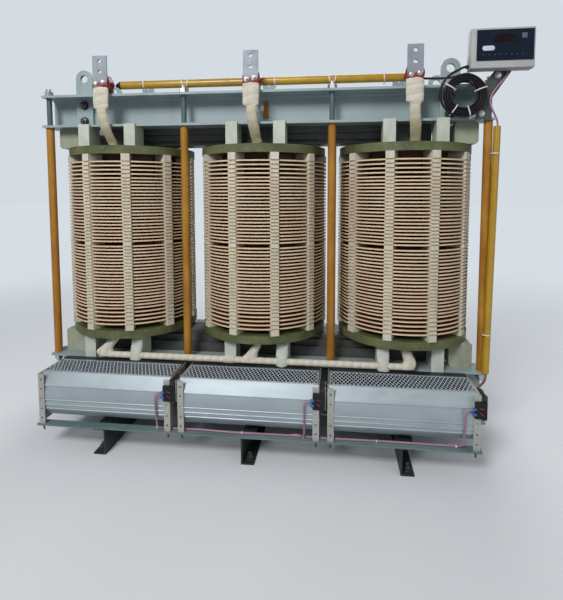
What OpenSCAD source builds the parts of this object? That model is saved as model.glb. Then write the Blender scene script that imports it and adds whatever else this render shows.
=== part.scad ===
// Open dry-type three-phase transformer for an ozone generator: a laminated core in channel
// clamps, three round disc-wound coils held by comb stays, top terminals on standoffs, and
// rows of cross-flow cooling fans on both sides.
// Front is -Y, up is +Z, and the origin lies on the floor under the middle of the core.
// Sizes are in millimetres.

/* [Coils] */
// distance between the axes of neighbouring coils
coil_pitch = 510; // [490:5:560]
// outer radius of the wound discs
disc_r = 226; // [215:1:230]
// inner radius of the wound discs
disc_bore_r = 186; // [182:1:195]
// thickness of one wound disc
disc_t = 4.8; // [4:0.2:7]
// discs in each half of a coil
half_discs = 24; // [16:1:26]
// wide gaps at the outer end of each half
end_gaps = 4; // [2:1:6]
// pitch of the discs beside the wide end gaps
end_pitch = 14; // [12:0.5:16]
// pitch across the wide gap at mid height
mid_pitch = 17.7; // [15:0.1:24]
// height of the spacer under the first disc
foot_spacer = 20; // [12:1:30]
// height of the spacer over the last disc
head_spacer = 24; // [12:1:30]
// height between the two end rings
winding_h = 611; // [600:1:680]
// outer radius of the inner winding
inner_r = 146; // [135:1:150]
// inner radius of the inner winding
inner_bore_r = 104; // [102:1:110]
// outer radius of the barrier cylinder
barrier_r = 170; // [160:1:172]
// wall of the barrier cylinder
barrier_t = 6; // [3:0.5:8]

/* [Comb stays] */
// stays around each coil
stays = 10; // [8:1:12]
// width of one stay
stay_w = 28; // [20:1:34]
// thickness of the spine behind the discs
spine_t = 13; // [8:0.5:14]
// how far the teeth stand out past the discs
tooth_over = 6; // [2:0.5:8]
// play between a disc and the teeth around it
tooth_play = 0.2; // [0.1:0.05:0.4]

/* [End rings] */
// outer radius of an end ring
ring_r = 228; // [222:1:236]
// bore radius of an end ring
ring_bore_r = 112; // [106:1:118]
// thickness of an end ring
ring_t = 28; // [20:1:34]

/* [Core] */
// radius of the circle around the stepped limb
core_r = 96; // [90:1:99]
// height of a yoke
yoke_h = 165; // [150:1:180]
// clear height between end ring and yoke
yoke_gap = 14; // [8:1:20]
// thickness of the insulating strip between yoke and clamp
pad_t = 8; // [4:1:12]
// height of the insulating strip
pad_h = 54; // [40:1:60]

/* [Clamps] */
// reach of the clamp channels past the outer tie rods
clamp_over = 15; // [14:1:40]
// height of the upper clamp channel
upper_clamp_h = 112; // [104:1:130]
// height of the lower clamp channel
lower_clamp_h = 178; // [176:1:220]
// distance from the core centre to the back of the clamp web
clamp_in = 92; // [90:1:100]
// thickness of the clamp web
web_t = 8; // [6:0.5:10]
// reach of the clamp flanges past the web
flange_w = 72; // [66:1:80]
// thickness of the clamp flanges
flange_t = 8; // [6:0.5:10]
// root radius between web and flange
root_r = 8; // [4:0.5:10]

/* [Tie rods] */
// steel rod diameter
rod_d = 18; // [14:1:20]
// outer diameter of the insulating sleeve
sleeve_d = 27; // [24:0.5:30]
// distance of the rods from the core centre plane
rod_y = 150; // [146:1:152]
// distance of an outer rod from the rim of the end ring
rod_clear = 15; // [2:1:30]
// play around a rod in its holes
rod_play = 0.75; // [0.3:0.05:1.2]
// width across flats of the rod nuts
nut_af = 27; // [24:0.5:30]
// height of the rod nuts
nut_h = 15; // [12:1:18]
// thread left above the top nuts
rod_thread = 10; // [6:1:20]

/* [Support blocks] */
// clear height between clamp flange and top end ring
top_block_h = 70; // [60:1:90]
// clear height between clamp flange and bottom end ring
low_block_h = 83; // [70:1:100]
// distance of a top block from the coil axis, towards the middle of the transformer
top_block_inner = 70; // [60:1:90]
// distance of a top block from the coil axis, towards the end of the transformer
top_block_outer = 97; // [70:1:104]
// distance of a bottom block from the coil axis, towards the middle of the transformer
low_block_inner = 80; // [60:1:90]
// distance of a bottom block from the coil axis, towards the end of the transformer
low_block_outer = 98; // [70:1:104]
// distance of the middle coil's top blocks from its axis
top_block_middle = 81; // [70:1:100]
// distance of the middle coil's bottom blocks from its axis
low_block_middle = 91; // [70:1:100]
// width of a block
block_w = 40; // [30:1:44]
// how far a block stands out in front of the flange
block_lip = 10; // [6:0.5:12]
// how far a block reaches in under the flange
block_in = 60; // [50:1:64]
// height of the lip over the upper flange
top_lip_h = 8; // [4:1:12]
// height of the lip over the lower flange
low_lip_h = 20; // [10:1:30]
// distance from coil axis to the near face of a side block
side_block_x = 145; // [140:1:150]
// width of a side block
side_block_w = 76; // [60:1:80]
// half length of a side block along the coil's side
side_block_y = 130; // [120:1:132]
// bevel along the edges of a side block
side_block_bevel = 7; // [4:1:20]

/* [Lifting lugs] */
// distance of a lug from the axis of its outer coil
lug_shift = 132; // [120:1:140]
// lug width
lug_w = 62; // [56:1:70]
// lug thickness
lug_t = 12; // [8:1:16]
// height of the eye above the clamp
lug_eye_up = 68; // [60:1:80]
// radius of the lifting eye
lug_eye_r = 14; // [12:0.5:18]
// play of the lug in the slot of the clamp flange
lug_play = 0.4; // [0.2:0.1:0.8]

/* [Terminals] */
// terminal bar width
bar_w = 50; // [46:1:58]
// terminal bar thickness
bar_t = 7; // [5:0.5:9]
// height of the terminal tops above the clamp
bar_top_up = 122; // [118:1:140]
// diameter of the connection holes
bar_hole_d = 13; // [9:0.5:14]
// distance between the connection holes
bar_hole_gap = 36; // [30:1:40]
// distance from the bar top to the upper hole
bar_hole_in = 18; // [14:1:22]
// standoff diameter
standoff_d = 62; // [50:1:64]
// standoff length
standoff_l = 38; // [36:1:44]
// height of the standoff axis above the clamp
standoff_up = 35; // [33:1:40]
// thickness of the standoff bracket
standoff_plate_t = 6; // [4:0.5:8]
// shift of the left terminal from its coil axis
left_terminal_shift = -24; // [-30:1:10]
// shift of the left lead's lower end from its coil axis
left_lead_shift = 2; // [-20:1:30]
// shift of the middle lead's lower end from its coil axis
middle_lead_shift = 4; // [-20:1:30]
// shift of the right lead's lower end from its coil axis
right_lead_shift = 14; // [-20:1:30]
// shift of the middle terminal from its coil axis
middle_terminal_shift = -11; // [-30:1:10]
// shift of the right terminal from its coil axis
right_terminal_shift = 5; // [-10:1:30]
// drop of the bar's lower end below the clamp top
tape_drop = 54; // [45:1:60]
// height of the wide taped part on the bar
tape_h = 70; // [50:1:80]
// wall of the tape around the bar
tape_t = 3; // [2:0.5:4]
// width of the taped lead below the terminal
lead_w = 38; // [34:1:48]
// thickness of the taped lead
lead_t = 14; // [10:1:16]

/* [Star bar] */
// diameter of the taped star connection bar
star_d = 22; // [16:1:26]
// depth of the bar axis below the bottom end rings
star_drop = 68; // [44:1:70]

/* [Conduits] */
// diameter of the sensor conduit on top
conduit_d = 27; // [22:0.5:30]
// wall of the conduits
conduit_t = 2; // [1.5:0.1:3]
// half length of the sensor conduit
conduit_half = 490; // [440:1:492]
// height of the conduit saddles on the clamp
saddle_h = 24; // [20:1:30]
// width of a conduit saddle
saddle_w = 16; // [12:1:24]
// diameter of the upright cable conduit
riser_d = 22; // [18:0.5:26]
// length of the upright cable conduit
riser_l = 800; // [700:5:815]

/* [Feet] */
// foot channel height
foot_h = 88; // [75:1:100]
// foot channel width
foot_w = 41; // [38:1:50]
// foot channel wall
foot_t = 5; // [4:0.5:7]
// distance of an outer foot web from the axis of its coil
foot_shift = 38; // [20:1:60]
// diameter of the floor bolt holes
foot_hole_d = 14; // [10:0.5:16]
// distance of the floor bolt holes from the channel ends
foot_hole_in = 28; // [20:1:40]

/* [Fans] */
// clear space between neighbouring fans
fan_space = 25; // [24:1:40]
// length of a fan over its end plates
fan_l = 450; // [420:1:450]
// height of the fan end plates
fan_h = 169; // [160:1:176]
// depth of the fans from back wall to front strip
fan_depth = 156; // [150:1:180]
// clear gap between the fan backs and the clamp flange
fan_gap = 12; // [11:1:20]
// thickness of the fan end plates
fan_plate_t = 2; // [1.5:0.1:3]
// width of the front strips on the end plates
fan_strip_w = 20; // [16:1:24]
// wall of the fan housing
fan_wall = 2.5; // [2:0.1:3]
// radius of the rounded housing front at its foot
fan_nose_r = 62; // [55:1:64]
// radius of the rounded housing back at its foot
fan_heel_r = 34; // [25:1:40]
// height of the crease across the housing front
fan_crease = 128; // [118:1:132]
// drop of the lowest rib below the crease
fan_rib_drop = 78; // [70:1:84]
// distance between the stiffening ribs
fan_rib_gap = 15; // [8:1:16]
// radius of the stiffening ribs on the housing
fan_rib_r = 3; // [1.5:0.1:4]
// fan motor width along the row
motor_w = 23; // [18:0.5:24]
// fan motor height
motor_h = 72; // [60:1:76]
// fan motor depth
motor_d = 68; // [50:1:75]
// depth of the motor top below the fan top
motor_drop = 2; // [1:1:40]
// width of the fan rail
rail_w = 32; // [28:1:60]
// thickness of the fan rail
rail_t = 5; // [4:0.5:8]
// reach of the fan rail past the outer fans
rail_over = 6; // [2:1:20]
// thickness of the grille frame
grille_t = 3; // [2:0.5:5]
// width of the grille frame
grille_rim = 8; // [5:0.5:10]
// distance between the crossing grille bars
grille_pitch = 32; // [24:1:40]
// width of the crossing grille bars
grille_bar = 2; // [1.5:0.5:4]

/* [Controller] */
// controller case width
case_w = 186; // [180:1:196]
// controller case height
case_h = 120; // [110:1:150]
// controller case depth
case_d = 42; // [34:1:80]
// shift of the case centre from the end of the clamp
case_shift = 0; // [-4:1:10]
// height of the case bottom above the upper clamp
case_up = 34; // [30:1:50]
// front panel width
panel_w = 164; // [150:1:168]
// front panel height
panel_h = 90; // [80:1:95]
// front panel thickness
panel_t = 4; // [2:0.5:8]
// thickness of the bracket sheet
bracket_t = 3; // [2:0.5:5]
// width of the bracket strip
bracket_w = 48; // [40:1:60]
// sideways lean of the bracket strip
bracket_lean = 54; // [40:1:60]

/* [Sensor cable] */
// sensor cable diameter
cable_d = 7; // [5:0.5:9]
// mean radius of the coiled spare cable
cable_ring_r = 55; // [45:1:58]
// radius of the coiled bundle
cable_bundle_r = 14; // [10:0.5:15]

/* [Hidden] */
$fn = 72;
thread_gap = 0.2;
coil_x = [-coil_pitch, 0, coil_pitch];
sides = [-1, 1];
// levels above the floor
low_clamp_top = foot_h + lower_clamp_h;
low_ring_z = low_clamp_top + low_block_h;
wind_z = low_ring_z + ring_t;
top_ring_z = wind_z + winding_h;
up_clamp_z = top_ring_z + ring_t + top_block_h;
up_clamp_top = up_clamp_z + upper_clamp_h;
low_yoke_z = low_ring_z - yoke_gap - yoke_h / 2;
up_yoke_z = top_ring_z + ring_t + yoke_gap + yoke_h / 2;
// depths from the core centre plane
web_out = clamp_in + web_t;
flange_out = web_out + flange_w;
core_half_d = clamp_in - pad_t;
// disc stack, with the regular pitch filling what the wide gaps leave
inner_gaps = half_discs - 1 - end_gaps;
disc_room = winding_h - foot_spacer - head_spacer - disc_t - mid_pitch - 2 * end_gaps * end_pitch;
disc_pitch = disc_room / (2 * inner_gaps);
half_stack = end_gaps * end_pitch + inner_gaps * disc_pitch;
stay_in = barrier_r + 0.3;
tooth_r = disc_r + tooth_over;
// tie rods between and beside the coils
outer_rod_x = coil_pitch + ring_r + rod_clear;
clamp_half = outer_rod_x + clamp_over;
lug_x = coil_pitch + lug_shift;
foot_x = coil_pitch - foot_shift;
rod_x = [-outer_rod_x, -coil_pitch / 2, coil_pitch / 2, outer_rod_x];
// terminals
term_x = [
    coil_x[0] + left_terminal_shift,
    coil_x[1] + middle_terminal_shift,
    coil_x[2] + right_terminal_shift,
];
lead_in = flange_out + block_lip + 4;
bar_in = lead_in + lead_t / 2 - bar_t / 2;
bar_out = bar_in + bar_t;
standoff_in = bar_in - standoff_l;
standoff_z = up_clamp_top + standoff_up;
bar_top = up_clamp_top + bar_top_up;
bar_low = up_clamp_top - tape_drop;
hole_z = bar_top - bar_hole_in - bar_hole_gap / 2;
lead_x = [
    coil_x[0] + left_lead_shift,
    coil_x[1] + middle_lead_shift,
    coil_x[2] + right_lead_shift,
];
// conduit on its saddles behind the inner rod ends
conduit_y = -(rod_y - nut_af / 2 - conduit_d / 2 + 4);
conduit_z = up_clamp_top + saddle_h + conduit_d / 2;
// riser beside the outer rod, touching its sleeve at mid height
riser_off = sleeve_d / 2 + riser_d / 2 + thread_gap;
riser_low = [outer_rod_x + 0.32 * riser_off, -rod_y - 1.05 * riser_off, low_clamp_top];
riser_top = [outer_rod_x + 0.96 * riser_off, -rod_y - 0.50 * riser_off, low_clamp_top + riser_l];
// fans
fan_z = foot_h + rail_t;
fan_top = fan_z + fan_h;
fan_back = flange_out + fan_gap;
fan_front = fan_back + fan_depth;
foot_l = 2 * fan_front;
fan_pitch = fan_l + fan_space;
rail_half = fan_pitch + fan_l / 2 + rail_over;
// controller
case_y = -(flange_out + bracket_t + case_d / 2);
case_x = clamp_half + case_shift;
case_z = up_clamp_top + case_up;
ring_y = -(flange_out + bracket_t + cable_bundle_r + thread_gap);
ring_x = lug_x + 25;
ring_z = up_clamp_top - 38;

paint = [0.53, 0.57, 0.55];
steel = [0.70, 0.70, 0.68];
cream = [0.85, 0.80, 0.70];
ochre = [0.78, 0.58, 0.25];
yellow = [0.90, 0.75, 0.20];
black = [0.10, 0.10, 0.11];

foot_left();
foot_middle();
foot_right();
lower_clamp_front();
lower_clamp_back();
upper_clamp_front();
upper_clamp_back();
core();
yoke_pads();
tie_rods();
rod_sleeves();
lifting_lugs();
inner_windings();
barrier_cylinders();
disc_winding_left();
disc_winding_middle();
disc_winding_right();
comb_stays_left();
comb_stays_middle();
comb_stays_right();
end_rings_top();
end_rings_bottom();
support_blocks_top();
support_blocks_bottom();
side_blocks();
terminal_bars();
standoffs();
taped_leads();
star_bar();
sensor_conduit();
conduit_saddles();
cable_riser();
fan_rail_front();
fan_rail_back();
fan_housings_front();
fan_housings_back();
fan_end_plates_front();
fan_end_plates_back();
fan_grilles_front();
fan_grilles_back();
fan_motors_front();
fan_motors_back();
controller_bracket();
controller_case();
controller_panel();
sensor_cable_coil();
sensor_cable();

// underside of one disc, counted from the bottom of the coil
function disc_up(n) =
    n <= end_gaps ? foot_spacer + n * end_pitch :
    n < half_discs ? foot_spacer + end_gaps * end_pitch + (n - end_gaps) * disc_pitch :
    n < 2 * half_discs - end_gaps ?
        foot_spacer + half_stack + mid_pitch + (n - half_discs) * disc_pitch :
    winding_h - head_spacer - disc_t - (2 * half_discs - 1 - n) * end_pitch;

// outline moved inwards by t, point by point
function inset(p, t) = [
    for (i = [0:len(p) - 1])
        let (
            a = p[(i + len(p) - 1) % len(p)], b = p[i], c = p[(i + 1) % len(p)],
            u = (b - a) / norm(b - a), v = (c - b) / norm(c - b),
            m = [-u[1], u[0]], n = [-v[1], v[0]]
        )
        b + t * (m + n) / (1 + m * n)
];

function arc(cx, cy, r, a, b, steps) =
    [for (i = [0:steps]) let (w = a + (b - a) * i / steps) [cx + r * cos(w), cy + r * sin(w)]];

// steel channel section, back at x = 0, flanges towards +x
module channel_section(h, w, web, flange, root) {
    square([web, h]);
    square([w, flange]);
    translate([0, h - flange]) square([w, flange]);
    difference() {
        translate([web, flange]) square(root);
        translate([web + root, flange + root]) circle(root);
    }
    difference() {
        translate([web, h - flange - root]) square(root);
        translate([web + root, h - flange - root]) circle(root);
    }
}

module ring(outer, bore, h) {
    difference() {
        cylinder(r = outer, h = h);
        translate([0, 0, -1]) cylinder(r = bore, h = h + 2);
    }
}

// round bar along a list of points, with round ends
module round_path(points, d) {
    for (i = [0:len(points) - 2])
        hull() {
            translate(points[i]) sphere(d = d, $fn = 20);
            translate(points[i + 1]) sphere(d = d, $fn = 20);
        }
}

module foot() {
    difference() {
        translate([0, foot_l / 2, 0])
            rotate([90, 0, 0])
                linear_extrude(foot_l)
                    channel_section(foot_h, foot_w, foot_t, foot_t, foot_t);
        for (s = sides)
            translate([foot_w / 2 + foot_t / 2, s * (foot_l / 2 - foot_hole_in), -1])
                cylinder(d = foot_hole_d, h = foot_t + 2);
    }
}

module foot_left() {
    color(black) mirror([1, 0, 0]) translate([foot_x, 0, 0]) foot();
}

module foot_middle() {
    color(black) translate([-foot_w / 2, 0, 0]) foot();
}

module foot_right() {
    color(black) translate([foot_x, 0, 0]) foot();
}

// channel lying along X with its flanges towards -Y
module clamp_bar(h) {
    translate([-clamp_half, -clamp_in, 0])
        rotate([90, 0, 90])
            linear_extrude(2 * clamp_half)
                mirror([1, 0])
                    channel_section(h, web_t + flange_w, web_t, flange_t, root_r);
}

module rod_holes(z, h) {
    for (x = rod_x)
        translate([x, -rod_y, z])
            cylinder(d = rod_d + 2 * rod_play, h = h);
}

module lower_clamp() {
    difference() {
        translate([0, 0, foot_h]) clamp_bar(lower_clamp_h);
        rod_holes(low_clamp_top - flange_t - 1, flange_t + 2);
    }
}

module upper_clamp() {
    difference() {
        translate([0, 0, up_clamp_z]) clamp_bar(upper_clamp_h);
        rod_holes(up_clamp_z - 1, upper_clamp_h + 2);
        for (s = sides)
            translate([s * lug_x - lug_w / 2 - lug_play, -web_out - lug_t - lug_play, up_clamp_z + flange_t + root_r])
                cube([lug_w + 2 * lug_play, lug_t + lug_play, upper_clamp_h]);
    }
    for (x = term_x)
        translate([x, -standoff_in, standoff_z]) standoff_bracket();
}

// upright plate with a rounded head, welded to the clamp flange
module standoff_bracket() {
    rotate([-90, 0, 0])
        linear_extrude(standoff_plate_t) {
            circle(d = bar_w);
            translate([-bar_w / 2, 0]) square([bar_w, standoff_up]);
        }
}

module lower_clamp_front() {
    color(paint) lower_clamp();
}

module lower_clamp_back() {
    color(paint) mirror([0, 1, 0]) lower_clamp();
}

module upper_clamp_front() {
    color(paint) upper_clamp();
}

module upper_clamp_back() {
    color(paint) mirror([0, 1, 0]) upper_clamp();
}

// depth of each lamination packet, and its width inside the limb circle
packet_d = [for (k = [0.33, 0.6, 0.8, 1]) 2 * core_half_d * k];
function packet_w(d) = 2 * sqrt(core_r * core_r - d * d / 4);

module core() {
    color([0.42, 0.40, 0.38])
        for (d = packet_d) {
            w = packet_w(d);
            h = min(w, yoke_h);
            for (x = coil_x)
                translate([x - w / 2, -d / 2, low_yoke_z])
                    cube([w, d, up_yoke_z - low_yoke_z]);
            for (z = [low_yoke_z, up_yoke_z])
                translate([-coil_pitch - w / 2, -d / 2, z - h / 2])
                    cube([2 * coil_pitch + w, d, h]);
        }
}

module yoke_pads() {
    color(ochre)
        for (s = sides)
            for (z = [low_clamp_top - pad_h - 2, up_clamp_z + 2])
                translate([-coil_pitch, s * (core_half_d + pad_t / 2) - pad_t / 2, z])
                    cube([2 * coil_pitch, pad_t, pad_h]);
}

module nut() {
    cylinder(d = nut_af / cos(30), h = nut_h, $fn = 6);
}

module tie_rods() {
    color(steel)
        for (s = sides)
            for (x = rod_x) {
                low = low_clamp_top - flange_t - nut_h - 10;
                translate([x, s * rod_y, low])
                    cylinder(d = rod_d, h = up_clamp_top + nut_h + rod_thread - low);
                translate([x, s * rod_y, up_clamp_top]) nut();
                translate([x, s * rod_y, low_clamp_top - flange_t - nut_h]) nut();
            }
}

module rod_sleeves() {
    color(ochre)
        for (s = sides)
            for (x = rod_x)
                translate([x, s * rod_y, low_clamp_top])
                    ring(sleeve_d / 2, rod_d / 2 + rod_play, up_clamp_z - low_clamp_top);
}

module lifting_lug() {
    foot_up = upper_clamp_h - flange_t - root_r - 2;
    translate([0, -web_out, up_clamp_top + lug_eye_up])
        rotate([90, 0, 0])
            linear_extrude(lug_t)
                difference() {
                    union() {
                        circle(d = lug_w);
                        translate([-lug_w / 2, -lug_eye_up - foot_up])
                            square([lug_w, lug_eye_up + foot_up]);
                    }
                    circle(lug_eye_r);
                }
}

module lifting_lugs() {
    color(paint)
        for (s = sides)
            translate([s * lug_x, 0, 0]) {
                lifting_lug();
                mirror([0, 1, 0]) lifting_lug();
            }
}

module inner_windings() {
    color(ochre)
        for (x = coil_x)
            translate([x, 0, wind_z]) ring(inner_r, inner_bore_r, winding_h);
}

module barrier_cylinders() {
    color([0.20, 0.13, 0.08])
        for (x = coil_x)
            translate([x, 0, wind_z]) ring(barrier_r, barrier_r - barrier_t, winding_h);
}

// flat spiral discs stacked with the spacing that the comb teeth give
module disc_winding(x) {
    color([0.86, 0.75, 0.70])
        translate([x, 0, wind_z])
            for (n = [0:2 * half_discs - 1])
                translate([0, 0, disc_up(n)]) ring(disc_r, disc_bore_r, disc_t);
}

module comb_stay() {
    difference() {
        translate([stay_in, -stay_w / 2, 0])
            cube([tooth_r - stay_in, stay_w, winding_h]);
        for (n = [0:2 * half_discs - 1])
            translate([stay_in + spine_t, -stay_w / 2 - 1, disc_up(n) - tooth_play])
                cube([tooth_r, stay_w + 2, disc_t + 2 * tooth_play]);
    }
}

module comb_stays(x) {
    color(cream)
        translate([x, 0, wind_z])
            for (i = [0:stays - 1])
                rotate(270 + (i + 0.5) * 360 / stays) comb_stay();
}

module disc_winding_left() {
    disc_winding(coil_x[0]);
}

module disc_winding_middle() {
    disc_winding(coil_x[1]);
}

module disc_winding_right() {
    disc_winding(coil_x[2]);
}

module comb_stays_left() {
    comb_stays(coil_x[0]);
}

module comb_stays_middle() {
    comb_stays(coil_x[1]);
}

module comb_stays_right() {
    comb_stays(coil_x[2]);
}

module end_rings(z) {
    color([0.45, 0.47, 0.33])
        for (x = coil_x)
            translate([x, 0, z]) ring(ring_r, ring_bore_r, ring_t);
}

module end_rings_top() {
    end_rings(top_ring_z);
}

module end_rings_bottom() {
    end_rings(low_ring_z);
}

// block under a clamp flange, with a lip in front of the flange edge
module support_block(h, lip) {
    translate([-block_w / 2, -flange_out - block_lip, 0])
        cube([block_w, block_lip + block_in, h]);
    translate([-block_w / 2, -flange_out - block_lip, 0])
        cube([block_w, block_lip, h + lip]);
}

// front and back blocks at each coil, at their distances from the three axes
module block_set(inner, middle, outer) {
    for (x = [
        -coil_pitch - outer, -coil_pitch + inner, -middle,
        middle, coil_pitch - inner, coil_pitch + outer
    ])
        translate([x, 0, 0]) {
            children();
            mirror([0, 1, 0]) children();
        }
}

module support_blocks_top() {
    color([0.85, 0.86, 0.84])
        translate([0, 0, top_ring_z + ring_t])
            block_set(top_block_inner, top_block_middle, top_block_outer)
                support_block(top_block_h, top_lip_h);
}

module support_blocks_bottom() {
    color([0.85, 0.86, 0.84])
        translate([0, 0, low_ring_z])
            mirror([0, 0, 1])
                block_set(low_block_inner, low_block_middle, low_block_outer)
                    support_block(low_block_h, low_lip_h);
}

// block under the clamps at the outer side of an end coil, with bevelled edges
module side_block(h) {
    k = side_block_bevel;
    w = side_block_w;
    translate([coil_pitch + side_block_x, side_block_y, 0])
        rotate([90, 0, 0])
            linear_extrude(2 * side_block_y)
                polygon([[k, 0], [w - k, 0], [w, k], [w, h - k], [w - k, h], [k, h], [0, h - k], [0, k]]);
}

module side_blocks() {
    color([0.70, 0.67, 0.60])
        for (m = [0, 1])
            mirror([m, 0, 0]) {
                translate([0, 0, top_ring_z + ring_t]) side_block(top_block_h);
                translate([0, 0, low_clamp_top]) side_block(low_block_h);
            }
}

module terminal_bar() {
    difference() {
        translate([-bar_w / 2, -bar_out, bar_low])
            cube([bar_w, bar_t, bar_top - bar_low]);
        for (s = sides)
            translate([0, -bar_in + 1, hole_z + s * bar_hole_gap / 2])
                rotate([90, 0, 0])
                    cylinder(d = bar_hole_d, h = bar_t + 2);
    }
}

module terminal_bars() {
    color(steel)
        for (x = term_x)
            translate([x, 0, 0]) {
                terminal_bar();
                mirror([0, 1, 0]) terminal_bar();
            }
}

// ribbed round standoff between bracket and bar
module standoff() {
    translate([0, -standoff_in, standoff_z])
        rotate([90, 0, 0]) {
            cylinder(d = standoff_d * 0.8, h = standoff_l);
            for (k = [0.08, 0.41, 0.74])
                translate([0, 0, standoff_l * k]) cylinder(d = standoff_d, h = standoff_l * 0.18);
        }
}

module standoffs() {
    color([0.55, 0.10, 0.08])
        for (x = term_x)
            translate([x, 0, 0]) {
                standoff();
                mirror([0, 1, 0]) standoff();
            }
}

// taped strap from the bar down past the clamp and back to the top end ring
module taped_lead(from_x, to_x) {
    low = top_ring_z + ring_t;
    back = flange_out - 10;
    mid = lead_in + lead_t / 2;
    bend = up_clamp_z + 20;
    knee = up_clamp_z - 18;
    wide = bar_w + 2 * tape_t;
    difference() {
        translate([from_x - wide / 2, -lead_in - lead_t, bar_low - tape_t])
            cube([wide, lead_t, tape_h + tape_t]);
        translate([from_x - bar_w / 2, -bar_out, bar_low])
            cube([bar_w, bar_t, bar_top]);
    }
    mid_x = from_x + (to_x - from_x) * 0.25;
    lead_run([from_x, -mid, bar_low - tape_t - 1], [mid_x, -mid, bend]);
    lead_run([mid_x, -mid, bend], [(mid_x + to_x) / 2, -mid + 6, knee]);
    lead_run([(mid_x + to_x) / 2, -mid + 6, knee], [to_x, -back, low + 14]);
    lead_run([to_x, -back, low + 14], [to_x, -back, low]);
}

module lead_run(a, b) {
    hull()
        for (p = [a, b])
            translate(p) translate([-lead_w / 2, -lead_t / 2, 0]) cube([lead_w, lead_t, 1]);
}

module taped_leads() {
    color(cream)
        for (i = [0:2]) {
            taped_lead(term_x[i], lead_x[i]);
            mirror([0, 1, 0]) taped_lead(term_x[i], lead_x[i]);
        }
}

// bar that joins the lower coil ends, with a tap up to each bottom ring
module star_bar() {
    y = -(flange_out + block_lip + star_d / 2 + thread_gap);
    z = low_ring_z - star_drop;
    up = low_ring_z - star_d / 2;
    color(cream) {
        round_path([
            [-coil_pitch + 4, y + 6, up],
            [-coil_pitch - 56, y, z + 8],
            [-coil_pitch - 44, y, z],
            [coil_pitch, y, z],
            [coil_pitch + 14, y, z + 10],
            [coil_pitch - 8, y + 6, up],
        ], star_d);
        round_path([[-26, y, z], [8, y + 6, up]], star_d);
    }
}

module sensor_conduit() {
    color(yellow)
        translate([-conduit_half, conduit_y, conduit_z])
            rotate([0, 90, 0])
                ring(conduit_d / 2, conduit_d / 2 - conduit_t, 2 * conduit_half);
}

// cradle between clamp flange and conduit
module conduit_saddles() {
    // from just clear of the rod nut's flat to the far side of the conduit
    near = rod_y - nut_af / 2 - thread_gap;
    far = -conduit_y - conduit_d / 2;
    color(ochre)
        difference() {
            for (x = [rod_x[1], rod_x[2]])
                translate([x - saddle_w / 2, -near, up_clamp_top])
                    cube([saddle_w, near - far, saddle_h + conduit_d / 4]);
            translate([-coil_pitch, conduit_y, conduit_z])
                rotate([0, 90, 0]) cylinder(d = conduit_d, h = 2 * coil_pitch);
        }
}

module cable_riser() {
    v = riser_top - riser_low;
    color(yellow)
        translate(riser_low)
            rotate([0, acos(v[2] / norm(v)), atan2(v[1], v[0])])
                ring(riser_d / 2, riser_d / 2 - conduit_t, norm(v));
}

module fan_rail() {
    translate([-rail_half, -fan_front - 5, foot_h])
        cube([2 * rail_half, rail_w, rail_t]);
}

module fan_rail_front() {
    color(paint) fan_rail();
}

module fan_rail_back() {
    color(paint) mirror([0, 1, 0]) fan_rail();
}

// housing outline in the plane across the fan: first value towards the front, second up
front_f = fan_front - fan_plate_t;
nose_f = front_f - fan_nose_r;
nose_z = fan_z + 10 + fan_nose_r;
crease_z = fan_z + fan_crease;
// large radius of the bulging front between nose and crease
bulge_r = 129;
bulge_f = front_f - bulge_r - 1;
bulge_z = nose_z + 20;
housing_outline = concat(
    [[fan_back, fan_top], [fan_back, fan_z + 10 + fan_heel_r]],
    arc(fan_back + fan_heel_r, fan_z + 10 + fan_heel_r, fan_heel_r, 190, 270, 6),
    [[nose_f, fan_z + 10]],
    arc(nose_f, nose_z, fan_nose_r, -84, -12, 9),
    arc(bulge_f, bulge_z, bulge_r, -8, asin((crease_z - 4 - bulge_z) / bulge_r), 5),
    [[front_f - 5, crease_z - 2], [front_f - 1, crease_z], [front_f - 20, fan_top]]
);

// how far the bulging front reaches at height z
function front_at(z) =
    z < bulge_z - 18 ? nose_f + sqrt(pow(fan_nose_r, 2) - pow(z - nose_z, 2)) :
    bulge_f + sqrt(pow(bulge_r, 2) - pow(z - bulge_z, 2));

module housing_section() {
    mouth_b = fan_back + 12;
    mouth_f = front_f - 32;
    difference() {
        polygon(housing_outline);
        polygon(inset(housing_outline, fan_wall));
        translate([mouth_b, fan_top - 20]) square([mouth_f - mouth_b, 30]);
    }
    for (i = [0:2]) {
        z = crease_z - fan_rib_drop + i * fan_rib_gap;
        translate([front_at(z) - fan_rib_r * 0.4, z]) circle(fan_rib_r, $fn = 24);
    }
}

module fan_row() {
    for (x = [-fan_pitch, 0, fan_pitch])
        translate([x, 0, 0]) children();
}

module fan_housing() {
    half = fan_l / 2 - fan_plate_t;
    translate([-half, 0, 0])
        rotate([90, 0, 90])
            linear_extrude(2 * half)
                mirror([1, 0]) housing_section();
}

module fan_housings_front() {
    color(steel) fan_row() fan_housing();
}

module fan_housings_back() {
    color(steel) mirror([0, 1, 0]) fan_row() fan_housing();
}

// end plate with its front strip, mirrored to the other end
module fan_end_plate() {
    translate([fan_l / 2 - fan_plate_t, -fan_front, fan_z])
        cube([fan_plate_t, fan_front - fan_back, fan_h]);
    difference() {
        translate([fan_l / 2 - fan_strip_w, -fan_front, fan_z])
            cube([fan_strip_w, fan_plate_t, fan_h]);
        for (k = [0.12, 0.3, 0.5, 0.7, 0.88])
            translate([fan_l / 2 - fan_strip_w / 2, -fan_front - 1, fan_z + fan_h * k])
                rotate([-90, 0, 0]) cylinder(d = 6, h = fan_plate_t + 2, $fn = 24);
    }
}

module fan_end_plates() {
    fan_row() {
        fan_end_plate();
        mirror([1, 0, 0]) fan_end_plate();
    }
}

module fan_end_plates_front() {
    color([0.72, 0.68, 0.58]) fan_end_plates();
}

module fan_end_plates_back() {
    color([0.72, 0.68, 0.58]) mirror([0, 1, 0]) fan_end_plates();
}

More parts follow.
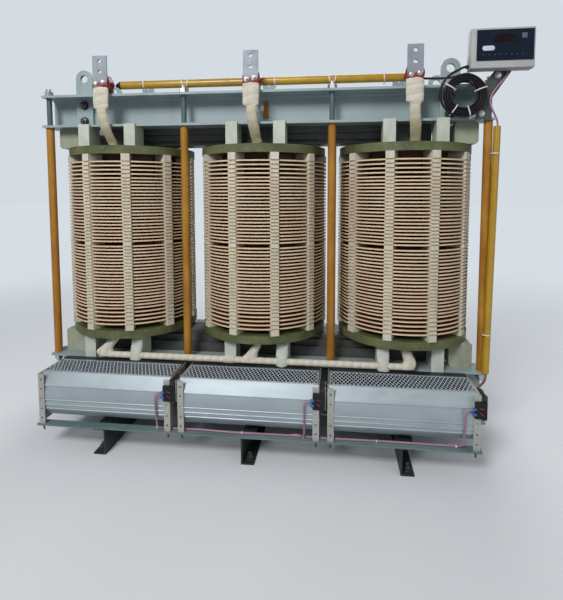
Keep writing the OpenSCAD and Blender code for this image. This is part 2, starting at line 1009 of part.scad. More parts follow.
// frame over the fan mouth with slanted crossing bars
module fan_grille() {
    w = fan_l - 2 * fan_plate_t - 4;
    d = front_f - 20 - fan_back;
    translate([-w / 2, -fan_back - d, fan_top])
        linear_extrude(grille_t) {
            difference() {
                square([w, d]);
                translate([grille_rim, grille_rim])
                    square([w - 2 * grille_rim, d - 2 * grille_rim]);
            }
            intersection() {
                translate([grille_rim / 2, grille_rim / 2]) square([w - grille_rim, d - grille_rim]);
                union()
                    for (x = [-d + grille_pitch / 2:grille_pitch:w]) {
                        translate([x, 0]) rotate(45) square([2 * d, grille_bar]);
                        translate([x + d, 0]) rotate(135) square([2 * d, grille_bar]);
                    }
            }
        }
}

module fan_grilles_front() {
    color(steel) fan_row() fan_grille();
}

module fan_grilles_back() {
    color(steel) mirror([0, 1, 0]) fan_row() fan_grille();
}

// motor on the end plate: pole stack, coil bulge and a terminal block over the front strip
module fan_motor() {
    top = fan_top - motor_drop;
    mid = -fan_front + motor_d / 2 - 4;
    translate([fan_l / 2, -fan_front - 4, top - motor_h])
        cube([motor_w * 0.7, motor_d, motor_h]);
    translate([fan_l / 2, mid, top - motor_h / 2])
        rotate([0, 90, 0]) cylinder(d = motor_h * 0.8, h = motor_w);
    translate([fan_l / 2 - fan_strip_w, -fan_front - 10, top - motor_h * 0.9])
        cube([fan_strip_w + motor_w * 0.7, 10, motor_h * 0.72]);
}

module fan_motors_front() {
    color(black) fan_row() fan_motor();
}

module fan_motors_back() {
    color(black) mirror([0, 1, 0]) fan_row() fan_motor();
}

// cranked strip from the clamp end up behind the controller
module controller_bracket() {
    right = clamp_half - 13;
    left = right - bracket_w;
    turn = up_clamp_top - 45;
    head = case_z + case_h / 2;
    color(paint)
        translate([0, -flange_out, 0])
            rotate([90, 0, 0])
                linear_extrude(bracket_t)
                    polygon([
                        [left, up_clamp_z], [right, up_clamp_z], [right, turn],
                        [right + bracket_lean, case_z], [right + bracket_lean, head],
                        [left + bracket_lean, head], [left + bracket_lean, case_z + 6],
                        [left, turn + 16],
                    ]);
}

module controller_case() {
    color([0.80, 0.79, 0.82])
        translate([case_x - case_w / 2, case_y - case_d / 2, case_z])
            cube([case_w, case_d, case_h]);
}

module controller_panel() {
    color([0.09, 0.10, 0.16])
        translate([case_x - panel_w / 2 + 5, case_y - case_d / 2 - panel_t, case_z + case_h - panel_h - 7])
            cube([panel_w, panel_t, panel_h]);
}

module sensor_cable_coil() {
    color(black)
        translate([ring_x, ring_y, ring_z])
            rotate([90, 0, 0])
                rotate_extrude()
                    translate([cable_ring_r, 0]) circle(cable_bundle_r, $fn = 32);
}

// cable from the conduit to the coil, and from the coil into the controller
module sensor_cable() {
    touch = cable_ring_r + cable_bundle_r + cable_d / 2;
    // the cable stays in line with the conduit until it is past the terminal
    past = term_x[2] + bar_w + cable_d;
    color(black) {
        round_path([
            [conduit_half - conduit_d, conduit_y, conduit_z],
            [past, conduit_y, conduit_z - cable_d],
            [ring_x - touch - 3 * cable_d, ring_y + 3 * cable_d, ring_z + touch * 0.8],
            [ring_x - touch * cos(45), ring_y, ring_z + touch * sin(45)],
        ], cable_d);
        round_path([
            [ring_x + touch * cos(62), ring_y, ring_z + touch * sin(62)],
            [ring_x + touch * cos(62) + 3 * cable_d, case_y, case_z - cable_d / 2],
        ], cable_d);
    }
}
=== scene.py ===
import bpy
import math
from mathutils import Vector, Matrix


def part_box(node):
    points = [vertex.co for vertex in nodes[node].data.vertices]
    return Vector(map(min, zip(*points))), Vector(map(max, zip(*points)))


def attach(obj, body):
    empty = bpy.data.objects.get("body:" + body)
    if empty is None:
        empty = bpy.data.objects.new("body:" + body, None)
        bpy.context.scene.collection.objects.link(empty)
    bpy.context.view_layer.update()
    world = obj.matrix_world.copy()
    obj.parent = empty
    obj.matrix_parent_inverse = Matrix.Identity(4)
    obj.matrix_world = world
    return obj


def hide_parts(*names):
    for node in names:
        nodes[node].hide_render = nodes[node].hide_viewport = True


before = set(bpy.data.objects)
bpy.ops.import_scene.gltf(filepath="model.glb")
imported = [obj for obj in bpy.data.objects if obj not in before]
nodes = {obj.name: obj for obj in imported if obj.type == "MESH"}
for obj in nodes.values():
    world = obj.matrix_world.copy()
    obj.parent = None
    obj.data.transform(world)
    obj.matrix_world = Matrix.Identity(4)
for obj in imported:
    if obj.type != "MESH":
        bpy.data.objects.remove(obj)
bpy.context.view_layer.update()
bpy.ops.object.select_all(action="DESELECT")
print("stage: frame loaded,", len(nodes), "nodes")


# shader maths on sockets
class Sock:
    def __init__(self, tree, out):
        self.tree, self.out = tree, out

    def math(self, op, other, swap=False):
        n = self.tree.nodes.new("ShaderNodeMath")
        n.operation = op
        pair = (other, self) if swap else (self, other)
        for i, v in enumerate(pair):
            if isinstance(v, Sock):
                self.tree.links.new(v.out, n.inputs[i])
            else:
                n.inputs[i].default_value = v
        return Sock(self.tree, n.outputs[0])

    def __add__(self, o): return self.math("ADD", o)
    def __radd__(self, o): return self.math("ADD", o, True)
    def __sub__(self, o): return self.math("SUBTRACT", o)
    def __rsub__(self, o): return self.math("SUBTRACT", o, True)
    def __mul__(self, o): return self.math("MULTIPLY", o)
    def __rmul__(self, o): return self.math("MULTIPLY", o, True)
    def __truediv__(self, o): return self.math("DIVIDE", o)
    def __pow__(self, o): return self.math("POWER", o)
    def __gt__(self, o): return self.math("GREATER_THAN", o)
    def __lt__(self, o): return self.math("LESS_THAN", o)

    def clamp(self):
        r = self.math("ADD", 0.0)
        r.out.node.use_clamp = True
        return r

    def over(self, start, gain):
        return ((self - start) * gain).clamp()


class Finish:
    def __init__(self, name):
        self.mat = bpy.data.materials.new(name)
        self.mat.use_nodes = True
        self.tree = self.mat.node_tree
        self.shader = self.tree.nodes["Principled BSDF"]
        self.where = self.node("ShaderNodeTexCoord", {}, {}, "Object")

    def node(self, kind, settings, sockets, out=0):
        n = self.tree.nodes.new(kind)
        for k, v in settings.items():
            if k == "stops":
                ramp = n.color_ramp
                while len(ramp.elements) < len(v):
                    ramp.elements.new(1.0)
                for e, (pos, col) in zip(ramp.elements, v):
                    e.position, e.color = pos, (*col, 1)
            else:
                setattr(n, k, v)
        for k, v in sockets.items():
            if isinstance(v, Sock):
                self.tree.links.new(v.out, n.inputs[k])
            elif isinstance(v, tuple) and len(v) == 3 and n.inputs[k].type == "RGBA":
                n.inputs[k].default_value = (*v, 1)
            else:
                n.inputs[k].default_value = v
        return Sock(self.tree, n.outputs[out])

    def noise(self, scale, detail=4.0, rough=0.55, stretch=None):
        at = self.where
        if stretch:
            at = self.node("ShaderNodeMapping", {}, {"Vector": at, "Scale": stretch})
        return self.node("ShaderNodeTexNoise", {},
                         {"Vector": at, "Scale": scale, "Detail": detail, "Roughness": rough})

    def mix(self, mask, a, b):
        return self.node("ShaderNodeMix", {"data_type": "RGBA"}, {0: mask, 6: a, 7: b}, 2)

    def fade(self, value, low, high):
        # black up to the low value, white from the high one
        return self.node("ShaderNodeValToRGB", {"stops": [(low, (0, 0, 0)), (high, (1, 1, 1))]}, {0: value})

    def axis(self, which):
        return self.node("ShaderNodeSeparateXYZ", {}, {0: self.where}, which)

    def set(self, **sockets):
        names = {"color": "Base Color", "rough": "Roughness", "metal": "Metallic", "coat": "Coat Weight",
                 "coatRough": "Coat Roughness", "spec": "Specular IOR Level", "sheen": "Sheen Weight",
                 "glow": "Emission Color", "glowPower": "Emission Strength"}
        for k, v in sockets.items():
            if isinstance(v, Sock):
                self.tree.links.new(v.out, self.shader.inputs[names[k]])
            else:
                self.shader.inputs[names[k]].default_value = v

    def bump(self, height, strength, distance):
        b = self.node("ShaderNodeBump", {}, {"Height": height, "Strength": strength, "Distance": distance})
        self.tree.links.new(b.out, self.shader.inputs["Normal"])


def paintFinish(name, base, worn, grime, rough=0.42):
    f = Finish(name)
    cloud = f.noise(5.5, 5.0, 0.6)
    speck = f.noise(90.0, 3.0, 0.6)
    runs = f.noise(9.0, 4.0, 0.6, (1.6, 1.6, 0.25))
    col = f.mix(f.fade(cloud, 0.32, 0.72), base, worn)
    col = f.mix(runs.over(0.55, 3.0) * 0.55, col, grime)
    col = f.mix(speck.over(0.66, 9.0) * 0.5, col, grime)
    f.set(color=col, rough=(rough + (cloud - 0.5) * 0.35 + (speck - 0.5) * 0.2).clamp(), spec=0.42)
    f.bump(f.noise(420.0, 2.0, 0.5) * 0.6 + speck * 0.4, 0.16, 0.0008)
    return f.mat


def boardFinish(name, base, dark, light, grainDir, rough=0.62):
    f = Finish(name)
    grain = f.noise(38.0, 5.0, 0.65, grainDir)
    cloud = f.noise(7.0, 4.0, 0.6)
    col = f.mix(f.fade(grain, 0.30, 0.70), dark, base)
    col = f.mix(cloud.over(0.48, 3.0) * 0.7, col, light)
    f.set(color=col, rough=(rough + (grain - 0.5) * 0.3).clamp(), spec=0.35)
    f.bump(grain + f.noise(260.0, 2.0, 0.5) * 0.35, 0.22, 0.0012)
    return f.mat


def metalFinish(name, base, stain, rough, brush=(1, 1, 1), metal=0.9, scale=55.0):
    f = Finish(name)
    lines = f.noise(scale, 4.0, 0.6, brush)
    cloud = f.noise(8.0, 5.0, 0.62)
    smear = f.noise(26.0, 4.0, 0.6)
    col = f.mix(cloud.over(0.42, 2.6) * 0.65, base, stain)
    col = f.mix(lines.over(0.56, 3.0) * 0.30, col, tuple(c * 0.7 for c in stain))
    f.set(color=col, metal=metal, rough=(rough + (lines - 0.5) * 0.30 + (smear - 0.5) * 0.28).clamp())
    f.bump(lines + smear * 0.3, 0.10, 0.0006)
    return f.mat


def plasticFinish(name, base, shade, rough, coat=0.0, depth=0.14, spec=0.5):
    f = Finish(name)
    cloud = f.noise(11.0, 4.0, 0.6)
    dust = f.noise(70.0, 4.0, 0.65)
    col = f.mix(f.fade(cloud, 0.33, 0.70), base, shade)
    col = f.mix(dust.over(0.60, 5.0) * 0.25, col, tuple(min(1, c * 1.15 + 0.02) for c in base))
    f.set(color=col, rough=(rough + (dust - 0.5) * 0.3).clamp(), coat=coat, coatRough=0.2, spec=spec)
    f.bump(f.noise(300.0, 2.0, 0.5), depth, 0.0007)
    return f.mat


def discFinish(name, middle):
    # taped conductor: pale wound rim, with painted shade in dark brown on the flats between the discs
    f = Finish(name)
    cloud = f.noise(13.0, 5.0, 0.6)
    wisp = f.noise(60.0, 4.0, 0.65, (1, 1, 5))
    turns = f.noise(520.0, 2.0, 0.5)
    x, y = f.axis(0) - middle, f.axis(1)
    rim = (((x * x + y * y) ** 0.5 - 0.2236) * 800.0).clamp()
    col = f.mix(f.fade(cloud, 0.30, 0.72), (0.78, 0.54, 0.34), (0.89, 0.69, 0.48))
    col = f.mix(wisp.over(0.52, 4.0) * 0.45, col, (0.58, 0.37, 0.21))
    col = f.mix(turns.over(0.58, 5.0) * 0.3, col, (0.88, 0.79, 0.66))
    # painted shade: the flats inside the rim turn dark brown
    col = f.mix(rim, f.mix(cloud, (0.10, 0.036, 0.016), (0.17, 0.066, 0.030)), col)
    f.set(color=col, rough=(0.55 + (wisp - 0.5) * 0.4).clamp(), spec=0.35)
    f.bump(turns * 0.7 + wisp, 0.25, 0.0008)
    return f.mat


def rodFinish(name, low, high):
    # plated rod, painted over where it crosses between the flanges
    f = Finish(name)
    cloud = f.noise(9.0, 4.0, 0.6)
    grime = f.noise(60.0, 4.0, 0.6)
    z = f.axis(2)
    paint = (z > low) * (z < high)
    col = f.mix(cloud, (0.62, 0.61, 0.57), (0.44, 0.42, 0.36))
    col = f.mix(paint, col, f.mix(grime, (0.065, 0.108, 0.102), (0.092, 0.142, 0.136)))
    f.set(color=col, metal=(1 - paint) * 0.85, rough=(0.38 + (grime - 0.5) * 0.4).clamp())
    f.bump(grime, 0.12, 0.0006)
    return f.mat


def laminationFinish(name):
    f = Finish(name)
    sheets = f.noise(900.0, 2.0, 0.6, (0.02, 1, 0.02))
    cloud = f.noise(6.0, 4.0, 0.6)
    rust = f.noise(22.0, 5.0, 0.65)
    col = f.mix(sheets, (0.045, 0.050, 0.046), (0.15, 0.16, 0.15))
    col = f.mix(cloud.over(0.45, 2.5) * 0.6, col, (0.075, 0.080, 0.065))
    col = f.mix(rust.over(0.62, 5.0) * 0.35, col, (0.15, 0.085, 0.05))
    f.set(color=col, rough=(0.5 + (rust - 0.5) * 0.4).clamp(), metal=0.35)
    f.bump(sheets + rust * 0.2, 0.3, 0.0008)
    return f.mat


def tapeFinish(name, stripe, lean, soaked=None):
    # overlapped cotton tape: slanted bands with a raised edge, fine weave, varnish-soaked low down
    f = Finish(name)
    band = f.node("ShaderNodeTexWave", {"wave_type": "BANDS", "bands_direction": "Z", "wave_profile": "SAW"},
                  {"Vector": f.node("ShaderNodeMapping", {}, {"Vector": f.where, "Rotation": lean}),
                   "Scale": stripe / 6.283, "Distortion": 0.6, "Detail": 2.0}, 1)
    cloud = f.noise(20.0, 4.0, 0.6)
    blot = f.noise(75.0, 4.0, 0.65)
    weave = f.noise(700.0, 2.0, 0.5)
    col = f.mix((band * 0.6 + cloud * 0.5).clamp(), (0.60, 0.53, 0.40), (0.80, 0.76, 0.66))
    col = f.mix(blot.over(0.52, 5.0) * 0.45, col, (0.46, 0.38, 0.24))
    if soaked:
        wet = ((soaked - f.axis(2)) * 11.0 + (cloud - 0.5) * 0.8).clamp()
        col = f.mix(wet * 0.8, col, f.mix(blot, (0.25, 0.21, 0.10), (0.48, 0.41, 0.26)))
    f.set(color=col, rough=(0.72 + (weave - 0.5) * 0.2).clamp(), sheen=0.15, spec=0.3)
    f.bump(band + weave * 0.2 + blot * 0.3, 0.6, 0.0018)
    return f.mat


def ringFinish(name):
    # varnished laminate: olive with brown runs down the edge and pale scuffs
    f = Finish(name)
    cloud = f.noise(9.0, 5.0, 0.65)
    runs = f.noise(30.0, 4.0, 0.6, (1, 1, 0.18))
    plies = f.noise(260.0, 2.0, 0.5, (0.05, 0.05, 1))
    scuff = f.noise(85.0, 4.0, 0.7)
    col = f.mix(f.fade(cloud, 0.34, 0.66), (0.065, 0.078, 0.026), (0.165, 0.185, 0.078))
    col = f.mix(runs.over(0.50, 4.0) * 0.6, col, (0.12, 0.080, 0.030))
    col = f.mix(scuff.over(0.58, 6.0) * 0.45, col, (0.31, 0.33, 0.20))
    col = f.mix(plies.over(0.55, 4.0) * 0.25, col, (0.085, 0.085, 0.03))
    f.set(color=col, rough=(0.46 + (scuff - 0.5) * 0.4).clamp(), spec=0.4)
    f.bump(plies * 0.6 + scuff * 0.4, 0.2, 0.0008)
    return f.mat


def housingFinish(name):
    # rolled aluminium outside, with painted shade, near black, where the sheet faces the blower's inside
    f = Finish(name)
    lines = f.noise(55.0, 4.0, 0.6, (0.05, 1, 1))
    cloud = f.noise(7.0, 5.0, 0.62)
    smear = f.noise(30.0, 4.0, 0.6, (0.5, 1, 1))
    turn = f.node("ShaderNodeSeparateXYZ", {}, {0: f.node("ShaderNodeTexCoord", {}, {}, "Normal")}, 1)
    y, z = f.axis(1), f.axis(2)
    # faces inside the blower: these get painted shade, near black, and lose their metal
    insideShade = ((y * turn) < -0.01) + ((y * y) < 0.0415) * (z > 0.1)
    col = f.mix(cloud.over(0.40, 2.4) * 0.6, (0.45, 0.51, 0.54), (0.33, 0.385, 0.415))
    col = f.mix(smear.over(0.55, 3.0) * 0.35, col, (0.57, 0.62, 0.64))
    col = f.mix(insideShade.clamp(), col, (0.012, 0.012, 0.013))
    f.set(color=col, metal=((1 - insideShade) * 0.65).clamp(),
          rough=(0.44 + (lines - 0.5) * 0.3 + (smear - 0.5) * 0.25).clamp())
    f.bump(lines + smear * 0.3, 0.10, 0.0006)
    return f.mat


print("stage: finishes")
# each finish: its maker and what that one is given
looks = {
    "clampPaint": (paintFinish, (0.30, 0.38, 0.395), (0.39, 0.465, 0.475), (0.18, 0.22, 0.205)),
    "railPaint": (paintFinish, (0.13, 0.19, 0.19), (0.20, 0.27, 0.27), (0.07, 0.09, 0.08)),
    # bracket paint made darker than the rail paint as painted shade
    "bracketPaint": (paintFinish, (0.050, 0.062, 0.058), (0.078, 0.092, 0.086), (0.030, 0.035, 0.031)),
    "footPaint": (paintFinish, (0.016, 0.020, 0.020), (0.032, 0.038, 0.037), (0.07, 0.065, 0.055), 0.5),
    "lamination": (laminationFinish,),
    "pressboard": (boardFinish, (0.42, 0.30, 0.15), (0.30, 0.20, 0.10), (0.52, 0.40, 0.22), (0.2, 1, 1)),
    "zincSteel": (metalFinish, (0.62, 0.62, 0.60), (0.42, 0.40, 0.35), 0.36),
    "ochreSleeve": (boardFinish, (0.48, 0.225, 0.025), (0.29, 0.108, 0.011), (0.58, 0.32, 0.055), (1, 1, 0.12), 0.36),
    "innerCoil": (boardFinish, (0.27, 0.17, 0.09), (0.16, 0.10, 0.05), (0.34, 0.23, 0.13), (1, 1, 0.3)),
    "barrier": (boardFinish, (0.105, 0.042, 0.018), (0.060, 0.024, 0.010), (0.15, 0.068, 0.030), (1, 1, 0.2), 0.5),
    "discLeft": (discFinish, -0.51),
    "discMiddle": (discFinish, 0.0),
    "discRight": (discFinish, 0.51),
    "tieRod": (rodFinish, 1.0945, 1.1895),
    "combBoard": (boardFinish, (0.75, 0.71, 0.58), (0.60, 0.56, 0.43), (0.86, 0.83, 0.72), (1, 1, 0.3)),
    "endRing": (ringFinish,),
    "paleBlock": (boardFinish, (0.62, 0.66, 0.57), (0.47, 0.50, 0.41), (0.73, 0.76, 0.68), (1, 1, 0.5)),
    "sideBlock": (boardFinish, (0.40, 0.42, 0.32), (0.29, 0.31, 0.23), (0.50, 0.52, 0.42), (1, 1, 0.4)),
    "tinnedBar": (metalFinish, (0.31, 0.33, 0.37), (0.20, 0.21, 0.24), 0.60, (3, 3, 0.3), 0.5),
    "redResin": (plasticFinish, (0.33, 0.018, 0.014), (0.22, 0.010, 0.010), 0.3, 0.35),
    "creamTape": (tapeFinish, 70.0, (0.35, 0.2, 1.0), 1.155),
    "lashTape": (tapeFinish, 160.0, (0.2, 0.1, 0.3)),
    "lashPale": (boardFinish, (0.62, 0.65, 0.56), (0.49, 0.52, 0.43), (0.72, 0.75, 0.67), (1, 1, 6)),
    "starTape": (tapeFinish, 75.0, (0.0, 1.35, 0.25)),
    "yellowTube": (plasticFinish, (0.54, 0.33, 0.016), (0.40, 0.215, 0.008), 0.30, 0.25),
    "fanAluminium": (metalFinish, (0.48, 0.52, 0.56), (0.36, 0.40, 0.44), 0.46, (0.05, 1, 1), 0.65),
    "fanHousing": (housingFinish,),
    "redTape": (plasticFinish, (0.35, 0.022, 0.024), (0.24, 0.014, 0.016), 0.5),
    "fanZinc": (metalFinish, (0.52, 0.51, 0.46), (0.27, 0.26, 0.22), 0.50, (1, 1, 1), 0.45, 180.0),
    "blackPlastic": (plasticFinish, (0.010, 0.010, 0.011), (0.018, 0.017, 0.017), 0.55, 0.0, 0.14, 0.25),
    "caseGrey": (plasticFinish, (0.50, 0.50, 0.50), (0.43, 0.43, 0.435), 0.5, 0.0, 0.14, 0.35),
    "panelDark": (plasticFinish, (0.005, 0.012, 0.024), (0.008, 0.017, 0.033), 0.5, 0.0, 0.05, 0.12),
    "pinkWire": (plasticFinish, (0.47, 0.25, 0.34), (0.37, 0.18, 0.26), 0.45),
    "brownWire": (plasticFinish, (0.17, 0.13, 0.045), (0.11, 0.08, 0.03), 0.45),
    "redWire": (plasticFinish, (0.40, 0.045, 0.11), (0.30, 0.03, 0.08), 0.4),
    "blueSleeve": (plasticFinish, (0.03, 0.16, 0.55), (0.02, 0.11, 0.42), 0.38),
    "nylonWhite": (plasticFinish, (0.78, 0.77, 0.73), (0.68, 0.67, 0.62), 0.42),
    "darkBolt": (metalFinish, (0.10, 0.10, 0.105), (0.055, 0.050, 0.045), 0.45, (1, 1, 1), 0.7),
    "fanNet": (metalFinish, (0.80, 0.92, 1.0), (0.65, 0.76, 0.85), 0.50, (1, 1, 1), 0.05),
    "seamGrey": (plasticFinish, (0.40, 0.40, 0.45), (0.34, 0.34, 0.39), 0.5),
    "keyPale": (plasticFinish, (0.66, 0.68, 0.80), (0.58, 0.60, 0.73), 0.4),
    "windowDim": (plasticFinish, (0.011, 0.003, 0.005), (0.018, 0.004, 0.006), 0.4, 0.0, 0.05, 0.12),
    "markGrey": (plasticFinish, (0.14, 0.15, 0.20), (0.10, 0.11, 0.15), 0.5, 0.0, 0.05, 0.2),
    "dimLight": (plasticFinish, (0.07, 0.08, 0.12), (0.05, 0.055, 0.09), 0.45, 0.0, 0.05, 0.2),
    "cableBlack": (plasticFinish, (0.006, 0.006, 0.007), (0.012, 0.011, 0.012), 0.5, 0.0, 0.14, 0.25),
}
finish = {name: make(name, *given) for name, (make, *given) in looks.items()}

nodeFinish = {
    "foot_": "footPaint", "lower_clamp": "clampPaint", "upper_clamp": "clampPaint", "core": "lamination",
    "yoke_pads": "pressboard", "tie_rods": "tieRod", "rod_sleeves": "ochreSleeve", "lifting_lugs": "clampPaint",
    "inner_windings": "innerCoil", "barrier_cylinders": "barrier", "disc_winding_left": "discLeft",
    "disc_winding_middle": "discMiddle", "disc_winding_right": "discRight",
    "comb_stays": "combBoard", "end_rings": "endRing", "support_blocks": "paleBlock", "side_blocks": "sideBlock",
    "terminal_bars": "tinnedBar", "standoffs": "redResin", "taped_leads": "creamTape", "star_bar": "starTape",
    "sensor_conduit": "yellowTube", "conduit_saddles": "ochreSleeve", "cable_riser": "yellowTube",
    "fan_rail": "railPaint", "fan_housings": "fanHousing", "fan_end_plates": "fanZinc", "fan_grilles": "fanAluminium",
    "fan_motors": "blackPlastic", "controller_bracket": "bracketPaint", "controller_case": "caseGrey",
    "controller_panel": "panelDark", "sensor_cable": "cableBlack",
}
for name, obj in nodes.items():
    start = max((k for k in nodeFinish if name.startswith(k)), key=len)
    obj.data.materials.clear()
    obj.data.materials.append(finish[nodeFinish[start]])
print("stage: node finishes set")

# camera at the photograph's viewing angle
shot = {"at": (0.2785, -1.6408, 0.8536), "yaw": 6.61, "pitch": 4.18, "lens": 26.33, "shift": (-0.0101, -0.1243)}
camera = bpy.data.objects.new("camera", bpy.data.cameras.new("camera"))
bpy.context.collection.objects.link(camera)
camera.location = shot["at"]
camera.rotation_euler = (math.radians(90 - shot["pitch"]), 0, math.radians(shot["yaw"]))
camera.data.lens = shot["lens"]
camera.data.shift_x, camera.data.shift_y = shot["shift"]
camera.data.clip_end = 60
bpy.context.scene.camera = camera


# small modelling helpers
def picked(*objs):
    # these objects selected and no other, the first one active
    if bpy.context.object and bpy.context.object.mode != "OBJECT":
        bpy.ops.object.mode_set(mode="OBJECT")
    bpy.ops.object.select_all(action="DESELECT")
    for obj in objs:
        obj.select_set(True)
    if objs:
        bpy.context.view_layer.objects.active = objs[0]


def added(kind, **how):
    picked()
    getattr(bpy.ops.mesh, "primitive_" + kind + "_add")(**how)
    return bpy.context.object


def settle(obj, scale=None, turn=None, at=None):
    # bakes size, turn and place into the mesh
    picked(obj)
    if scale:
        obj.scale = scale
    if turn:
        obj.rotation_euler = turn
    if at:
        obj.location = at
    bpy.ops.object.transform_apply(location=True, rotation=True, scale=True)
    return obj


def modified(obj, kind, **how):
    picked(obj)
    m = obj.modifiers.new(kind.lower(), kind)
    for k, v in how.items():
        setattr(m, k, v)
    bpy.ops.object.modifier_apply(modifier=m.name)
    return obj


def rounded(obj, width, steps=2, angle=30):
    return modified(obj, "BEVEL", width=width, segments=steps, limit_method="ANGLE", angle_limit=math.radians(angle))


def lumpy(obj, strength, level=0.5):
    return modified(obj, "DISPLACE", texture=lumps, texture_coords="GLOBAL", strength=strength, mid_level=level)


def slab(size, at, edge=0.001, steps=2):
    # box of the given size with rolled edges
    return rounded(settle(added("cube", size=1), size, None, at), edge, steps)


def stub(radius, depth, at, along="Z", sides=20, edge=0.0008):
    turn = {"Z": (0, 0, 0), "X": (0, math.pi / 2, 0), "Y": (math.pi / 2, 0, 0)}[along]
    return rounded(settle(added("cylinder", vertices=sides, radius=radius, depth=depth), None, turn, at), edge, 1, 40)


def editWhole():
    # edit mode with all of the active mesh picked
    bpy.ops.object.mode_set(mode="EDIT")
    bpy.ops.mesh.select_all(action="SELECT")


def editDone():
    bpy.ops.object.mode_set(mode="OBJECT")


def unpickMesh():
    bpy.ops.object.mode_set(mode="EDIT")
    bpy.ops.mesh.select_all(action="DESELECT")
    bpy.ops.object.mode_set(mode="OBJECT")


def dressed(obj, mat):
    obj.data.materials.clear()
    obj.data.materials.append(finish[mat])
    return obj


def copyOf(model, matrix):
    twin = model.copy()
    twin.data = model.data.copy()
    bpy.context.collection.objects.link(twin)
    twin.data.transform(matrix)
    return twin


def farSide(piece):
    # a copy mirrored to the far side, turned right side out again
    twin = copyOf(piece, Matrix.Scale(-1, 4, (0, 1, 0)))
    picked(twin)
    editWhole()
    bpy.ops.mesh.flip_normals()
    editDone()
    return twin


def joined(parts):
    picked(*parts)
    if len(parts) > 1:
        bpy.ops.object.join()
    return bpy.context.object


def assembled(parts, name, slot, *standsFor):
    piece = joined(parts)
    piece.name = piece.data.name = name
    bpy.ops.object.shade_smooth_by_angle(angle=math.radians(35))
    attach(piece, "root")
    if standsFor:
        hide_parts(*standsFor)
    return piece


def facing(direction):
    return Vector(direction).normalized().to_track_quat("Z", "Y").to_matrix().to_4x4()


def smoothPath(points, step=0.006):
    # evenly stepped smooth line through the points
    pts = [Vector(p) for p in points]
    ends = [pts[0] * 2 - pts[1]] + pts + [pts[-1] * 2 - pts[-2]]
    line = []
    for a, b, c, d in zip(ends, ends[1:], ends[2:], ends[3:]):
        n = max(2, int((c - b).length / step))
        for i in range(n):
            t = i / n
            line.append(0.5 * (2 * b + (c - a) * t + (2 * a - 5 * b + 4 * c - d) * t * t
                               + (3 * b - a - 3 * c + d) * t ** 3))
    return line + [pts[-1]]


def cable(name, points, diameter, mat, slot, lay, stiffness, *standsFor):
    data = bpy.data.curves.new(name, "CURVE")
    data.dimensions = "3D"
    data.bevel_depth, data.bevel_resolution, data.use_fill_caps = diameter / 2, 2, True
    spline = data.splines.new("POLY")
    spline.points.add(len(points) - 1)
    for p, v in zip(spline.points, points):
        p.co = (*v, 1)
    piece = bpy.data.objects.new(name, data)
    bpy.context.collection.objects.link(piece)
    data.materials.append(finish[mat])
    length = sum((b - a).length for a, b in zip(points, points[1:]))
    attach(piece, "root")
    if standsFor:
        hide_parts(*standsFor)
    print("cable", name, round(length, 3), "m")


# sensor cable: out of the controller, round a tied coil, back into the yellow conduit
sensor = {"d": 0.0075, "innerR": 0.0447, "layer": 2.75, "pitch": 0.00773, "apart": 0.0041, "turnSteps": 30,
          "gland": ((0.002, 0.012), (-0.014, 0.011)), "loopR": 0.078, "loopFrom": 108, "loopTurn": 160,
          "loopSteps": 7, "leave": (-0.045, 0.022, -0.016),
          "into": ((0.07, -0.012, -0.009), (0.03, 0, -0.002), (-0.012, 0, 0))}
coilLow, coilHigh = (Vector(v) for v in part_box("sensor_cable_coil"))
coilMid = (coilLow + coilHigh) / 2
caseLow, caseHigh = (Vector(v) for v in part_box("controller_case"))
tubeLow, tubeHigh = (Vector(v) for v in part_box("sensor_conduit"))
tubeY, tubeZ = (tubeLow.y + tubeHigh.y) / 2, (tubeLow.z + tubeHigh.z) / 2


def onRing(degrees, radius, y):
    a = math.radians(degrees)
    return Vector((coilMid.x + radius * math.cos(a), y, coilMid.z + radius * math.sin(a)))


def coilSlot(t):
    # two flat layers: wound in on the front one, round the inside, and out again on the back one
    n, half = sensor["layer"], sensor["apart"]
    if t < n:
        return sensor["innerR"] + (n - t) * sensor["pitch"], -half
    if t < n + 1:
        a = math.pi * (t - n)
        return sensor["innerR"] - half * math.sin(a), -half * math.cos(a)
    return sensor["innerR"] + (t - n - 1) * sensor["pitch"], half


def coilLine():
    caseMidY = (caseLow.y + caseHigh.y) / 2
    line = [Vector((caseLow.x + x, caseMidY, caseLow.z + z)) for x, z in sensor["gland"]]
    outerR, outerY = coilSlot(0)
    for i in range(sensor["loopSteps"] + 1):
        t = i / sensor["loopSteps"]
        line.append(onRing(sensor["loopFrom"] + sensor["loopTurn"] * t,
                           sensor["loopR"] + (outerR - sensor["loopR"]) * t ** 1.5,
                           caseMidY + (coilMid.y + outerY - caseMidY) * t))
    turns, steps = 2 * sensor["layer"] + 1, sensor["turnSteps"]
    start = sensor["loopFrom"] + sensor["loopTurn"]
    for i in range(1, int(turns * steps) + 1):
        r, y = coilSlot(i / steps)
        line.append(onRing(start + 360 * i / steps, r, coilMid.y + y))
    x, y, z = sensor["leave"]
    line.append(Vector((coilMid.x + x, coilMid.y + y, tubeZ + z)))
    line += [Vector((tubeHigh.x + x, tubeY + y, tubeZ + z)) for x, y, z in sensor["into"]]
    return smoothPath(line)


cable("sensorCable", coilLine(), sensor["d"], "cableBlack", "cable_black", "coiled", "limp",
      "sensor_cable", "sensor_cable_coil")

# pink fan cable along each rail, with a tap down from every motor
fanPitch = 0.475
fanCentres = (-fanPitch, 0, fanPitch)
pink = {"d": 0.006, "tapX": 0.203, "tapZ": 0.222, "motorY": -0.348, "frontY": -0.336, "ahead": 0.006, "bend": 0.018,
        "fall": ((0.003, 0.175), (0.009, 0.140)), "inset": 0.020, "lift": 0.0003, "gap": 0.0006, "straight": 0.024,
        "runFrom": 0.02, "runStep": 0.1, "runSteps": 7, "runEnd": 0.17, "sway": 0.002, "swayTurn": 2.1}
railLow, railHigh = (Vector(v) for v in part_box("fan_rail_front"))
riserLow, riserHigh = (Vector(v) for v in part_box("cable_riser"))
railRun = railLow.y + pink["inset"]


